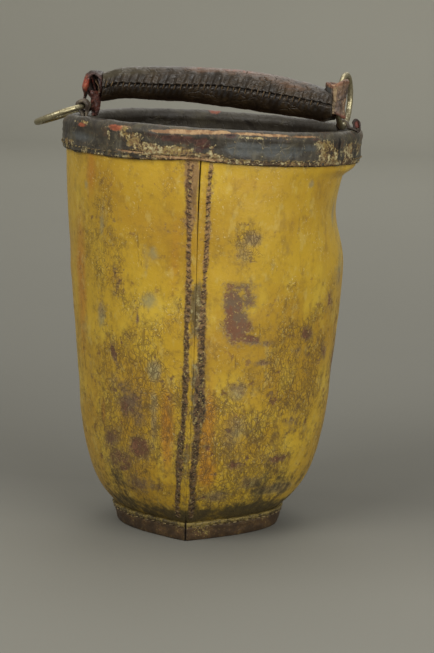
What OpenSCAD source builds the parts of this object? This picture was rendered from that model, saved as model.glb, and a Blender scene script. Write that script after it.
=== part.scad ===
// Leather fire bucket: one wrapped wall with a butted and sewn seam, a flanged bottom in a
// foot band, a rolled rim over a hoop, and a stuffed leather bail hung from two iron rings.

/* [Wall] */
// Height of the rim's crest over the floor, at the middle of the mouth
body_h = 300; // [260:1:340]
// Outer radius of the wall where it enters the rim
body_r = 106; // [100:0.5:112]
// Thickness of the wall's leather
wall_t = 4.2; // [3.5:0.1:5]
// How far the mouth has settled sideways over the foot, to the right
lean_x = 8.3; // [0:0.1:14]
// How far the mouth has settled over the foot, to the back
lean_y = 2.2; // [0:0.1:6]
// Slope of the mouth, down to the right, in degrees
rim_tilt = 2.2; // [0:0.1:4]
// Slope of the mouth, down to the back, in degrees
rim_back = 2.8; // [0:0.1:4]
// Slope of the bucket's middle line where it leaves the foot, to the right, in degrees
foot_lean = 4.3; // [0:0.1:6]
// How far the rounded bottom swells out over the foot
bowl_out = 25.7; // [20:0.5:32]
// How fast that swelling ends, measured up the wall
bowl_h = 23.2; // [18:0.5:30]
// Depth of the buckle in the wall under the rim, at the right
dent = 11; // [0:0.5:13]
// How far that buckle lies under the rim's crest
dent_down = 59.5; // [50:0.5:80]
// How far the buckle fades out upwards
dent_up = 48; // [30:1:60]
// How far the buckle fades out downwards
dent_low = 24; // [16:1:40]

/* [Seam] */
// Open gap between the two edges of the wall
seam_gap = 1.2; // [0.6:0.1:2]
// Direction of the seam at the foot, in degrees
seam_foot = -83.5; // [-90:0.5:-75]
// Direction of the seam at the mouth, in degrees
seam_mouth = -80; // [-90:0.5:-75]
// How far the seam stands out as a corner at the foot
corner = 8.8; // [2:0.1:12]
// How far the wall lies flat beside that corner
flat_in = 3.7; // [0:0.1:6]
// Distance from the seam to each row of stitches, in degrees
row_a = 4.4; // [3:0.1:5.5]
// Thickness of the backing strip behind the seam
strip_t = 2.5; // [1.5:0.1:3]

/* [Foot] */
// Outer radius of the wall at the floor
foot_r = 56; // [52:0.5:62]
// How much wider the foot is at its top
foot_flare = 4.9; // [0:0.1:7]
// Height of the foot
foot_h = 14; // [10:0.5:18]
// Thickness of the band round the foot
foot_band_t = 2.8; // [2:0.1:3.5]
// Thickness of the bottom's leather
bottom_t = 3.6; // [3:0.1:4.5]

/* [Rim] */
// Radius of the iron hoop's rod in the rim
hoop_r = 3; // [2.5:0.1:3.5]
// Thickness of the rim's leather
rim_t = 2.5; // [2:0.1:3]
// Height of the rim band outside
rim_h = 23.5; // [20:0.5:30]
// Height of the rim band inside
rim_in_h = 25; // [20:0.5:30]
// Direction of the rim band's own joint, in degrees
rim_joint = -120; // [-130:1:-110]

/* [Rings] */
// Radius of the left ring, to the middle of its wire
left_ring_r = 20.9; // [20:0.1:22]
// Radius of the right ring
right_ring_r = 18.6; // [18:0.1:20]
// Radius of the rings' wire
wire_r = 1.9; // [1.5:0.05:2]
// Height of the bail's turning line over the rim's crest, at the left
left_pin_w = 4.5; // [4.4:0.1:6]
// Height of the bail's turning line over the rim's crest, at the right
right_pin_w = 1.6; // [1.6:0.1:3]
// Distance of the right ring inside the rim's crest
right_in = 7.6; // [7.5:0.1:8.5]
// Distance of the left ring's turning line inside the rim's crest
left_in = 7.5; // [7:0.1:9]
// Distance of the left tab in front of the bail's end
left_tab_v = 9.2; // [8.8:0.1:11]

/* [Tabs] */
// Width of the leather tabs
tab_w = 5; // [4:0.25:5.5]
// Thickness of the tabs
tab_t = 1.9; // [1.5:0.1:2.2]
// Radius of the hole in the left tab
left_hole = 4.1; // [3.9:0.05:4.3]
// Radius of the hole in the right tab
right_hole = 2.6; // [2.4:0.05:2.8]
// How much further than round that hole goes up and down, for the ring to tilt in it
right_play = 1; // [0.8:0.05:1.2]
// Width of the right tab
right_tab_w = 3.2; // [2.8:0.1:3.4]

/* [Bail] */
// Thickest radius of the stuffed bail, right of its middle
bail_r = 14.1; // [12:0.1:15]
// Radius of the bail at its left end
bail_left_r = 11.7; // [11:0.1:13]
// Thickness of the bail's cover
cover_t = 2.4; // [1.8:0.1:3]
// Height of the bail's middle line over the rim's crest
bail_w = 24.2; // [23:0.1:27]
// How far the bail lies in front of the mouth's middle
bail_v = 8; // [7:0.5:9]
// How much the right end lies nearer the front, per length
bail_skew = 0.09; // [0.08:0.005:0.1]
// How far the sewn lip stands out from the bail
lip = 1.6; // [0.5:0.1:2]
// Half width of the left eye's upper loop
eye_wide = 8.4; // [8:0.1:9]
// Half height of the left eye's upper loop
eye_tall = 12; // [11:0.25:13]
// Thickness of the left eye's strap
eye_t = 2.5; // [2.2:0.1:3]
// Radius of the left eye's hole round the ring
eye_hole = 5.4; // [5:0.05:5.6]
// Height of the left eye's upper loop over the rim's crest
eye_w = 17.5; // [16:0.5:19]
// Outer radius of the right eye's spool at its middle
spool_r = 7.2; // [7:0.1:8]
// Height of the right eye's spool
spool_h = 24; // [22:0.5:25]

/* [Stitches] */
// Radius of the thread
thread_r = 0.7; // [0.4:0.05:0.9]
// Distance from one stitch to the next
pitch = 5.6; // [4.5:0.1:8]

/* [Hidden] */
$fn = 64;

// Clearance between pieces that lie on each other
fit = 0.3;
// Rounded crest of the rim: its radius, and the circle that it follows
roll = hoop_r + fit + rim_t;
crest_r = body_r - wall_t / 2;
// The two rings' places across the mouth
right_u = crest_r - right_in;
left_u = crest_r - left_in;
// Height where the wall becomes round and straight, just under the rim
neck_h = body_h - rim_h - 2;
// Half width of the backing strip, and the wall's steps round the bucket, from the seam
strip_a = 7.5;
round = [0, 3, 6, 9, for (k = [0:50]) 15 + k * 6.6, 351, 354, 357, 360];
// The wall's steps up the bucket: close together in the rounded bottom
bowl_steps = [for (k = [0.15, 0.35, 0.6, 0.9, 1.3, 1.8, 2.5]) foot_h + k * bowl_h];
last_bowl = bowl_steps[len(bowl_steps) - 1];
side_n = 14;
side_steps = [for (k = [1:side_n]) last_bowl + k * (neck_h - last_bowl) / side_n];
wall_top = body_h - roll - hoop_r - fit;
up = concat([0, foot_h], bowl_steps, side_steps, [wall_top]);

// Smooth step from 0 to 1
function smooth(t) = t <= 0 ? 0 : t >= 1 ? 1 : t * t * (3 - 2 * t);
// Smallest turn between two directions
function turn(a, b) = abs((a - b + 900) % 360 - 180);

// A point turned with the mouth's slope, of which it gets the share k
function sloped(x, y, w, k) =
    let (
        a = -rim_back * k,
        b = rim_tilt * k,
        z = y * sin(a) + w * cos(a))
    [x * cos(b) + z * sin(b), y * cos(a) - w * sin(a), z * cos(b) - x * sin(b)];

// Middle line of the mouth, w above or under the crest
function mouth(w) = [lean_x, lean_y, body_h] + sloped(0, 0, w, 1);

// Middle line of the bucket: upright in the foot, then leaning over to meet the mouth's
function middle(z) =
    z <= foot_h ? [0, 0, z] :
    z >= neck_h ? mouth(z - body_h) :
    let (
        l = neck_h - foot_h,
        t = (z - foot_h) / l,
        m0 = l * [sin(foot_lean), 0, cos(foot_lean)],
        m1 = l * sloped(0, 0, 1, 1),
        a = (2 * t - 3) * t * t + 1,
        b = ((t - 2) * t + 1) * t,
        c = (3 - 2 * t) * t * t,
        d = (t - 1) * t * t)
    a * [0, 0, foot_h] + b * m0 + c * mouth(neck_h - body_h) + d * m1;

function slope_at(z) = smooth((z - foot_h) / (neck_h - foot_h));
function seam_at(z) = seam_foot + (seam_mouth - seam_foot) * z / body_h;
function fade(z) = 1 - smooth(z / (0.85 * body_h));

// Plain outer radius of the wall at height z
function plain_r(z) =
    z <= foot_h ? foot_r + foot_flare * z / foot_h :
    let (t = min(1, (z - foot_h) / (neck_h - foot_h)), r0 = foot_r + foot_flare)
    r0 + bowl_out * (1 - exp((foot_h - z) / bowl_h)) + (body_r - r0 - bowl_out) * t;

// Outer radius at height z and d degrees round from the seam: the corner at the seam, the
// flats beside it, and the buckle at the right
function wall_r(z, d) =
    let (
        off = turn(d, 0),
        r = plain_r(z) - (off < 90 ? flat_in * fade(z) * pow(sin(2 * off), 2) : 0),
        edge = acos(1 / (1 + corner * fade(z) / plain_r(z))),
        over = z - body_h + dent_down,
        buckle = dent * exp(-pow(over / (over > 0 ? dent_up : dent_low), 2))
            * exp(-pow(turn(seam_at(z) + d, 8) / 30, 2)) * smooth((neck_h - z) / 9))
    r / cos(max(0, edge - off)) - buckle;

// Point of the wall, out mm outside its outer face
function wall_pt(z, d, out) =
    let (
        a = seam_at(z) + d,
        r = wall_r(z, d) + out)
    middle(z) + sloped(r * cos(a), r * sin(a), 0, slope_at(z));

// Keeps a step d clear of the open gap at the seam
function clear_gap(z, d) =
    let (g = asin(seam_gap / 2 / plain_r(z)))
    max(g, min(360 - g, d));

// Two triangles for a four-sided face
function quad(a, b, c, d) = [[a, b, c], [a, c, d]];

// Leather that follows the wall from out0 to out1, over the steps zs and ds. It is closed
// when it runs all the way round, and butted when its ends meet at the seam with a gap.
module skin(zs, ds, out0, out1, closed = false, butted = false) {
    n = len(ds);
    m = len(zs);
    last = closed ? n - 1 : n - 2;
    points = [for (z = zs) each concat(
        [for (d = ds) wall_pt(z, butted ? clear_gap(z, d) : d, out1)],
        [for (d = ds) wall_pt(z, butted ? clear_gap(z, d) : d, out0)])];
    function o(j, i) = j * 2 * n + i % n;
    function p(j, i) = o(j, i) + n;
    faces = concat(
        [for (j = [0:m - 2], i = [0:last]) each quad(o(j, i), o(j + 1, i), o(j + 1, i + 1), o(j, i + 1))],
        [for (j = [0:m - 2], i = [0:last]) each quad(p(j, i), p(j, i + 1), p(j + 1, i + 1), p(j + 1, i))],
        [for (i = [0:last]) each quad(o(0, i), o(0, i + 1), p(0, i + 1), p(0, i))],
        [for (i = [0:last]) each quad(o(m - 1, i), p(m - 1, i), p(m - 1, i + 1), o(m - 1, i + 1))],
        closed ? [] : [for (j = [0:m - 2]) each quad(o(j, 0), p(j, 0), p(j + 1, 0), o(j + 1, 0))],
        closed ? [] : [for (j = [0:m - 2])
            each quad(o(j, n - 1), o(j + 1, n - 1), p(j + 1, n - 1), p(j, n - 1))]);
    polyhedron(points, faces);
}

// Puts its children in the mouth's own frame: u right, v back, w up from the crest
module at_rim() {
    translate([lean_x, lean_y, body_h]) rotate([-rim_back, rim_tilt, 0]) children();
}

// One straight stitch from a to b
module stitch(a, b) {
    l = norm(b - a);
    translate(a)
        rotate([0, acos((b.z - a.z) / l), atan2(b.y - a.y, b.x - a.x)])
            cylinder(h = l, r = thread_r, $fn = 16);
}

// Profile in the u-w plane, given as [x, y], with its width laid along v round v = 0
module across(width) {
    rotate([90, 0, 0]) linear_extrude(width, center = true) children();
}

module body_panel() {
    color("#c9a22e") skin(up, round, -wall_t, 0, butted = true);
}

strip_top = body_h - rim_in_h - 2;
strip_up = concat([foot_h + 1], bowl_steps, [for (z = side_steps) if (z < strip_top - 4) z], [strip_top]);

module seam_strip() {
    color("#6b3f24")
        skin(strip_up, [-strip_a, -5, -2.5, 0, 2.5, 5, strip_a],
            -wall_t - fit - strip_t, -wall_t - fit);
}

// Row of stitches up the wall, d degrees round from the seam
module seam_row(d) {
    low = foot_h + 4;
    high = neck_h - 3;
    n = floor((high - low) / pitch);
    for (k = [0:n - 1]) {
        z = low + k * (high - low) / n;
        stitch(wall_pt(z, d, thread_r + fit), wall_pt(z + 0.6 * pitch, d, thread_r + fit));
    }
}

module seam_stitches_left() {
    color("#4a2c17") seam_row(360 - row_a);
}

module seam_stitches_right() {
    color("#4a2c17") seam_row(row_a);
}

// Plan of the foot at height z, out mm outside the wall
module foot_plan(z, out) {
    polygon([for (i = [0:len(round) - 2]) let (p = wall_pt(z, round[i], out)) [p.x, p.y]]);
}

// Round bottom with its edge turned down inside the wall, all the way to the floor
module bottom_disc() {
    color("#7a5230") union() {
        skin([0, foot_h - bottom_t / 2], [for (i = [0:len(round) - 2]) round[i]],
            -wall_t - fit - bottom_t, -wall_t - fit, closed = true);
        translate([0, 0, foot_h - bottom_t])
            linear_extrude(bottom_t) foot_plan(foot_h - bottom_t, -wall_t - fit);
    }
}

module foot_band() {
    color("#5b3a22") skin([0, foot_h], round, fit, fit + foot_band_t, butted = true);
}

module foot_stitches() {
    out = fit + foot_band_t + fit + thread_r;
    z = foot_h - 2.5;
    n = floor(2 * PI * foot_r / pitch);
    color("#c9a862") for (k = [1:n - 2]) {
        d = 360 * k / n;
        stitch(wall_pt(z, d, out), wall_pt(z, d + 0.55 * 360 / n, out));
    }
}

module rim_hoop() {
    color("#5a5048") at_rim()
        rotate_extrude($fn = 96) translate([crest_r, -roll]) circle(hoop_r);
}

// Section of the rim band: a rounded crest over the hoop and two flaps that draw in to
// the wall
function crest_arc(r, from, to) =
    [for (k = [0:20]) let (a = from + k * (to - from) / 20) [crest_r + r * cos(a), -roll + r * sin(a)]];

module rim_section() {
    out_r = body_r + fit;
    in_r = body_r - wall_t - fit;
    draw = -roll - 8;
    polygon(concat(
        [[out_r + rim_t, -rim_h], [out_r + rim_t, draw]],
        crest_arc(roll, 0, 180),
        [[in_r - rim_t, draw], [in_r - rim_t, -rim_in_h], [in_r, -rim_in_h], [in_r, draw]],
        crest_arc(roll - rim_t, 180, 0),
        [[out_r, draw], [out_r, -rim_h]]));
}

module rim_band() {
    color("#4b4a48") at_rim() rotate([0, 0, rim_joint + 0.2])
        rotate_extrude(angle = 359.6, $fn = 96) rim_section();
}

module rim_stitches() {
    r = body_r + fit + rim_t + fit + thread_r;
    n = floor(2 * PI * r / pitch);
    color("#8d7a52") at_rim() for (k = [0:n - 1]) {
        a = 360 * k / n;
        b = a + 0.55 * 360 / n;
        w = 4 - rim_h;
        stitch([r * cos(a), r * sin(a), w], [r * cos(b), r * sin(b), w]);
    }
}

// Side view of a tab's loop and its tail, which hangs inside the rim; x points outwards.
// The tail's face is clear of the round rim over the tab's whole width, v mm off the middle.
tail_h = rim_in_h - 2;
function tail_face(v) =
    let (r = crest_r - roll - fit, e = v + tab_w / 2)
    sqrt(r * r - e * e);

module tab_side(u, v, w, hole, low, high) {
    difference() {
        union() {
            translate([u, w]) circle(hole + tab_t);
            if (high > 0) translate([u, w + high]) circle(hole + tab_t);
            translate([tail_face(v) - tab_t, -tail_h]) square([tab_t, tail_h + w]);
            children();
        }
        translate([u, w + high]) circle(hole);
        if (low > 0) translate([u, w - low]) circle(hole);
    }
}

module left_tab() {
    color("#6f5b46") at_rim() translate([0, -left_tab_v, 0]) mirror([1, 0, 0])
        across(tab_w) tab_side(left_u, left_tab_v, left_pin_w, left_hole, 0, 0);
}

// The right tab goes on over the crest, and its end curls up outside
module right_tab() {
    color("#6f5b46") at_rim() across(right_tab_w)
        tab_side(right_u, 0, right_pin_w, right_hole, right_play - 0.1, right_play + 0.1) {
        intersection() {
            difference() {
                translate([crest_r, -roll]) circle(roll + fit + tab_t);
                translate([crest_r, -roll]) circle(roll + fit);
            }
            polygon([[crest_r - 7, -roll + 4], [crest_r, -roll], [crest_r + 5, -roll + 5],
                [crest_r + 9, 6], [crest_r - 7, 6]]);
        }
        difference() {
            union() {
                translate([crest_r + 4.2, 2.6]) circle(3);
                translate([crest_r + 3.8, 6]) circle(2.8);
            }
            translate([crest_r + 3.9, 5]) circle(1.1);
        }
    }
}

module tab_stitches() {
    back = tab_t + fit + thread_r;
    r = tail_face(0) - back;
    l = back - tail_face(left_tab_v);
    color("#b09a6b") at_rim() for (w = [-8, -12, -16, -20]) {
        stitch([r, -1.5, w], [r, 1.5, w]);
        stitch([l, -left_tab_v - 1.5, w], [l, -left_tab_v + 1.5, w]);
    }
}

// The left ring turns where its wire passes through the tab, and lies out over the rim:
// its slope brings the wire down on the crest
left_arm = sqrt(left_ring_r * left_ring_r - left_tab_v * left_tab_v);
left_mid = left_u + left_arm;
cross_u = (crest_r * crest_r + left_mid * left_mid - left_ring_r * left_ring_r) / (2 * left_mid);
rise = left_pin_w + roll;
reach = cross_u - left_u;
left_rest = acos((roll + wire_r + fit) / sqrt(rise * rise + reach * reach)) - atan2(reach, rise);

module ring(r) {
    rotate_extrude($fn = 96) translate([r, 0]) circle(wire_r, $fn = 32);
}

module left_ring() {
    color("#8f8456") at_rim() translate([-left_u, 0, left_pin_w]) rotate([0, -left_rest, 0])
        translate([-left_arm, 0, 0]) ring(left_ring_r);
}

module right_ring() {
    color("#8f8456") at_rim() translate([right_u, 0, right_pin_w + right_ring_r]) rotate([0, 90, 0])
        ring(right_ring_r);
}

// Middle line of the bail, and its radius, at u
bail_a = -left_u + 8.6;
bail_b = right_u - 5.8;
bail_n = 24;
bail_u = [for (k = [0:bail_n]) bail_a + k * (bail_b - bail_a) / bail_n];
function bail_mid(u) = [u, -bail_v - bail_skew * u, bail_w - 0.00073 * pow(u + 9, 2)];
function bail_rad(u) =
    let (t = (u - bail_a) / (bail_b - bail_a))
    bail_left_r + (bail_r - bail_left_r) * smooth(t / 0.7) - 1.9 * smooth((t - 0.75) / 0.25);

// Steps round the bail from the sewn lip, which faces the front
bail_turn = [0, 9, 20, for (k = [2:16]) 20 * k, 340, 351];
function bail_pt(u, a, out) =
    let (
        off = min(a, 360 - a),
        r = bail_rad(u) + out + (out > -cover_t ? lip * exp(-pow(off / 11, 2)) : 0),
        c = bail_mid(u))
    [u, c.y - r * cos(a), c.z + r * sin(a)];

// Round bar along the bail's middle line
module bail_bar(us, turns, out) {
    n = len(turns);
    m = len(us);
    function q(j, i) = j * n + i % n;
    points = [for (u = us) each [for (a = turns) bail_pt(u, a, out)]];
    faces = concat(
        [for (j = [0:m - 2], i = [0:n - 1]) each quad(q(j, i), q(j, i + 1), q(j + 1, i + 1), q(j + 1, i))],
        [[for (i = [0:n - 1]) q(0, n - 1 - i)]],
        [[for (i = [0:n - 1]) q(m - 1, i)]]);
    polyhedron(points, faces);
}

// Room for the two eyes at the bail's ends
module eye_room() {
    translate([eye_u, 0, eye_w]) rotate([90, 0, 0])
        scale([eye_wide + fit, eye_tall + fit, 1]) cylinder(h = 60, r = 1, center = true);
    translate([right_u, -spool_v, 0]) cylinder(h = 80, r = spool_r + 1.2 + fit);
}

module handle_core() {
    color("#8a6a43") at_rim() difference() {
        bail_bar(bail_u, [for (k = [0:13]) k * 360 / 14], -cover_t - fit);
        eye_room();
    }
}

module handle_cover() {
    long = concat([bail_a - 5], [for (k = [0:bail_n]) bail_u[k]], [bail_b + 5]);
    color("#3d2a22") at_rim() difference() {
        bail_bar(bail_u, bail_turn, 0);
        bail_bar(long, [for (k = [0:15]) k * 22.5], -cover_t);
        eye_room();
    }
}

module handle_stitches() {
    n = floor((bail_b - bail_a - 16) / (0.8 * pitch));
    color("#2a1c16") at_rim() for (k = [0:n - 1]) {
        u = bail_a + 8 + k * 0.8 * pitch;
        stitch(bail_pt(u, 18, fit + thread_r), bail_pt(u + 2.4, 30, fit + thread_r));
    }
}

// The left eye: a strap that leaves the bail in a wide loop and closes round the ring. Its
// foot is round about the bail's turning line, and runs close over the rim.
eye_low = -crest_r + sqrt(pow(roll + fit + eye_hole + eye_t, 2) - pow(left_pin_w + roll, 2));
eye_u = -left_u + 6;
module pear(grow) {
    low = [eye_low, left_pin_w];
    top = [eye_u, eye_w];
    a = eye_hole + grow;
    b = eye_wide - eye_t + grow;
    translate(low) circle(a);
    translate(top) scale([b, eye_tall - eye_t + grow]) circle(1);
    polygon([low - [a, 0], low + [a, 0], top + [b, 0] * 0.995, top - [b, 0] * 0.995]);
}

module left_eye() {
    narrow = 2.8;
    wide = 8.5;
    low = left_pin_w;
    color("#8a3f2a") at_rim() intersection() {
        across(40) difference() {
            pear(eye_t);
            pear(0);
        }
        union() {
            rotate([90, 0, 90]) linear_extrude(300, center = true) polygon([
                [narrow, low], [narrow, low + 5], [narrow + 1, low + 8],
                [wide, low + 11], [wide, 60], [-wide, 60], [-wide, low + 11],
                [-narrow - 1, low + 8], [-narrow, low + 5], [-narrow, low]]);
            intersection() {
                translate([eye_low, 0, low]) sphere(eye_hole + eye_t);
                translate([eye_low - 20, -narrow, low - 20]) cube([40, 2 * narrow, 20.5]);
            }
        }
    }
}

// The right eye: a spool of leather round the ring's near side, waisted at its middle
ring_sag = right_ring_r - sqrt(right_ring_r * right_ring_r - spool_h * spool_h / 4);
spool_bore = (ring_sag + 2.35 * wire_r) / 2 + fit;
spool_v = right_ring_r + wire_r + fit - spool_bore;

module right_eye() {
    h = spool_h / 2;
    color("#5d5148") at_rim() translate([right_u, -spool_v, right_pin_w + right_ring_r])
        rotate_extrude() polygon([
            [spool_bore, -h], [spool_r + 1, -h], [spool_r + 1.2, -h + 1.5], [spool_r + 0.4, -h + 5],
            [spool_r, 0], [spool_r + 0.4, h - 5], [spool_r + 1.2, h - 1.5], [spool_r + 1, h],
            [spool_bore, h]]);
}

body_panel();
seam_strip();
seam_stitches_left();
seam_stitches_right();
bottom_disc();
foot_band();
foot_stitches();
rim_hoop();
rim_band();
rim_stitches();
left_tab();
right_tab();
tab_stitches();
left_ring();
right_ring();
handle_core();
handle_cover();
handle_stitches();
left_eye();
right_eye();
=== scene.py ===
# %% [markdown]
# # A leather fire bucket
# A sheet of thick leather is wrapped into a tall cup, its two edges are sewn at the front,
# and the whole is painted mustard yellow. A dark leather collar is folded over an iron hoop
# at the mouth, a narrow band closes the foot, and a stuffed leather bail hangs on two rings.
# The frame comes from the CAD model. Here each piece gets its final surface: a fine mesh that
# is worked out with numpy, and a finish that is worked out with shader nodes.

# %% The frame
import math

import bpy
import numpy as np
from mathutils import Matrix, Vector
from numpy import clip, cos, exp, linspace, pi, radians, sin, stack


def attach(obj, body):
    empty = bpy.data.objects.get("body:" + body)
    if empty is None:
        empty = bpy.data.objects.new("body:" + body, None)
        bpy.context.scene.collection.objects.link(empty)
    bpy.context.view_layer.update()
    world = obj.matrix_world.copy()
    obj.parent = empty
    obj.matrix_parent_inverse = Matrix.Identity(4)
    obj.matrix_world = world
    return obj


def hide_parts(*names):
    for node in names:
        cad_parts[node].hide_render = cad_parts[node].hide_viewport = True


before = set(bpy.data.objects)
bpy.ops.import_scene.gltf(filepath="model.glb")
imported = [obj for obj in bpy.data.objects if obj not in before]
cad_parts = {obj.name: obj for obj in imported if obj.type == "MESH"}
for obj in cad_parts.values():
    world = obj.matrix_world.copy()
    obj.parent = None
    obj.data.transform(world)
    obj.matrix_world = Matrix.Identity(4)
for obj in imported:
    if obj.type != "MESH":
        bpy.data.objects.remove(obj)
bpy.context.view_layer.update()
scene = bpy.context.scene
print("nodes:", sorted(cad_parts))

# %% [markdown]
# ## The camera
# The bucket was photographed from about two metres away and half a metre up, a little to the
# right of its seam. A long lens at that distance keeps the sides almost parallel. The camera's
# axes are built one by one: to the right, up, and back towards the viewer.

# %% Camera
AROUND, DOWN, ROLL = radians(15), radians(10.139), radians(0.604)
DISTANCE, EYE_HEIGHT = 1.984, 0.5009
PICTURE_H, FOCAL, SHIFT = 653, 2724.5, 17.6
right = Vector((cos(AROUND), sin(AROUND), 0))
ahead = Vector((-sin(AROUND) * cos(DOWN), cos(AROUND) * cos(DOWN), -sin(DOWN)))
above = right.cross(ahead)
right, above = right * cos(ROLL) + above * sin(ROLL), above * cos(ROLL) - right * sin(ROLL)
eye = Vector((sin(AROUND) * DISTANCE, -cos(AROUND) * DISTANCE, EYE_HEIGHT))
camera = bpy.data.objects.new("camera", bpy.data.cameras.new("camera"))
scene.collection.objects.link(camera)
camera.matrix_world = Matrix([*zip(right, above, -ahead, eye), (0, 0, 0, 1)])
camera.data.sensor_width = 36
camera.data.lens = FOCAL / PICTURE_H * 36
camera.data.shift_x = SHIFT / PICTURE_H
camera.data.clip_end = 20
scene.camera = camera
scene.view_settings.view_transform = "Standard"
print("lens %.0f mm, %.2f m away" % (camera.data.lens, DISTANCE))

# %% [markdown]
# ## Shader maths as plain expressions
# A finish is easier to read as a formula than as a drawing of wires. `Ink` wraps one socket of
# a material, so that `1 - mask * 0.5` adds the Math nodes for us. Anything with three numbers
# (a colour, a place) goes through Vector Math, because a Math node would turn it grey.

# %% Ink: a socket that can be added and multiplied
def three(x):
    return isinstance(x, tuple) or (isinstance(x, Ink) and not x.flat)


class Ink:
    def __init__(self, tree, out):
        self.tree, self.out, self.flat = tree, out, out.type == "VALUE"

    def node(self, kind, settings=None, inputs=None, out=0):
        """Any other node: its settings first, then the values or links of its sockets."""
        node = self.tree.nodes.new(kind)
        for name, value in (settings or {}).items():
            setattr(node, name, value)
        for name, value in (inputs or {}).items():
            socket = node.inputs[name]
            if isinstance(value, Ink):
                self.tree.links.new(value.out, socket)
            elif socket.type == "RGBA":
                socket.default_value = (*value, 1)
            elif socket.type == "VECTOR" and not isinstance(value, tuple):
                socket.default_value = (value,) * 3
            else:
                socket.default_value = value
        return Ink(self.tree, node.outputs[out])

    def join(self, other, operation, swap=False):
        a, b = (other, self) if swap else (self, other)
        kind = "ShaderNodeVectorMath" if three(self) or three(other) else "ShaderNodeMath"
        return self.node(kind, {"operation": operation}, {0: a, 1: b})

    def __add__(self, other): return self.join(other, "ADD")
    def __radd__(self, other): return self.join(other, "ADD", True)
    def __sub__(self, other): return self.join(other, "SUBTRACT")
    def __rsub__(self, other): return self.join(other, "SUBTRACT", True)
    def __mul__(self, other): return self.join(other, "MULTIPLY")
    def least(self, other): return self.join(other, "MINIMUM")
    def most(self, other): return self.join(other, "MAXIMUM")

    def clear(self, low, high, to_low=0, to_high=1):
        """A soft step: to_low under low, to_high over high."""
        return self.node("ShaderNodeMapRange", {"interpolation_type": "SMOOTHSTEP"},
                         {0: self, 1: low, 2: high, 3: to_low, 4: to_high})


# %% [markdown]
# A `Finish` is one material under work. It hands out the things that leather finishes need:
# the place on the piece, numbers that were stored in the mesh, cloudy noise, and cracks.
# Cracks come from a Voronoi pattern: its cells are the islands of paint, and the distance to
# the nearest border is small inside a crack. The colour is built up like paint: `base` mixes
# the ground, and each `on` lays a colour over it where its mask is 1.

# %% Finish: a material under work
class Finish:
    def __init__(self, name):
        self.material = bpy.data.materials.new(name)
        self.material.use_nodes = True
        self.tree = self.material.node_tree
        self.tree.nodes.clear()
        self.place = Ink(self.tree, self.tree.nodes.new("ShaderNodeTexCoord").outputs["Object"])

    def stored(self, name):
        return self.place.node("ShaderNodeAttribute", {"attribute_name": name}, out=2)

    def coat(self, colour, under, mask):
        """A colour painted over another where the mask is 1."""
        return self.place.node("ShaderNodeMix", {"data_type": "RGBA"}, {0: mask, 6: under, 7: colour}, 2)

    def base(self, colour, under, mask):
        self.colour = self.coat(colour, under, mask)

    def on(self, colour, mask):
        self.colour = self.coat(colour, self.colour, mask)

    def noise(self, scale, at=None, detail=4, rough=0.55):
        """Cloudy noise, about half above zero and half below."""
        return (at or self.place).node("ShaderNodeTexNoise", None, {
            "Vector": at or self.place, "Scale": scale, "Detail": detail, "Roughness": rough}) - 0.5

    def grains(self, *scales, rough=0.6, mid_rough=0.55, fray=(1.1, 0.7)):
        """Coarse, fine and perhaps finest grain, and a mix that frays the edge of a mask."""
        found = [self.noise(*grain) for grain in zip(scales, [None] * 3, (5, 5, 3), (mid_rough, rough, 0.55))]
        self.tiny, self.ragged = found[-1], found[0] * fray[0] + found[1] * fray[1]
        return *found, self.ragged

    def mask(self, name, low, high, ragged, tiny=0, share=1):
        """A mark from the mesh, its edge frayed by so much of the grains."""
        mark = self.stored(name) * share + self.ragged * ragged
        return (mark + self.tiny * tiny if tiny else mark).clear(low, high)

    def cracks(self, scale, at, width):
        edge = at.node("ShaderNodeTexVoronoi", {"feature": "DISTANCE_TO_EDGE"}, {"Vector": at, "Scale": scale})
        return edge.clear(0, width, 1, 0)

    def shaken(self, at, scale, amount):
        """A place pushed about by noise, so that straight patterns wander."""
        push = at.node("ShaderNodeTexNoise", None, {"Vector": at, "Scale": scale, "Detail": 3}, 1)
        return at + (push - (0.5, 0.5, 0.5)) * (amount, amount, amount)

    def done(self, roughness, height=None, depth=0.0005, **fixed):
        """Closes the finish: the colour, the roughness, and the relief in metres."""
        if height is not None:
            fixed["Normal"] = self.place.node("ShaderNodeBump", None, {"Distance": depth, "Height": height})
        shader = self.place.node("ShaderNodeBsdfPrincipled", None,
                                 {"Base Color": self.colour, "Roughness": roughness, **fixed})
        end = self.tree.nodes.new("ShaderNodeOutputMaterial")
        self.tree.links.new(shader.out, end.inputs["Surface"])
        return self.material


# %% [markdown]
# ## Meshes from grids
# Every hand-worked piece here is a sheet or a tube, so it can be a grid of points that is bent
# into shape. `sheet` lists such a grid's points and faces, with named numbers on its points,
# such as the height up the wall, for the finish to read. `piece` makes one mesh of its sheets.

# %% Grid helpers
MM = 0.001


def sheet(points, ring=False, loop=False, flip=False, **numbers):
    """points is rows x columns x 3 in mm. ring joins the last column to the first, loop the rows."""
    index = np.arange(points[..., 0].size).reshape(points.shape[:2])
    a, b = (index, np.roll(index, -1, 0)) if loop else (index[:-1], index[1:])
    if ring:
        corners = a, np.roll(a, -1, 1), np.roll(b, -1, 1), b
    else:
        corners = a[:, :-1], a[:, 1:], b[:, 1:], b[:, :-1]
    faces = stack([c.ravel() for c in (corners[::-1] if flip else corners)], -1)
    return points.reshape(-1, 3), faces, {k: np.broadcast_to(v, index.shape).ravel() for k, v in numbers.items()}


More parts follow.
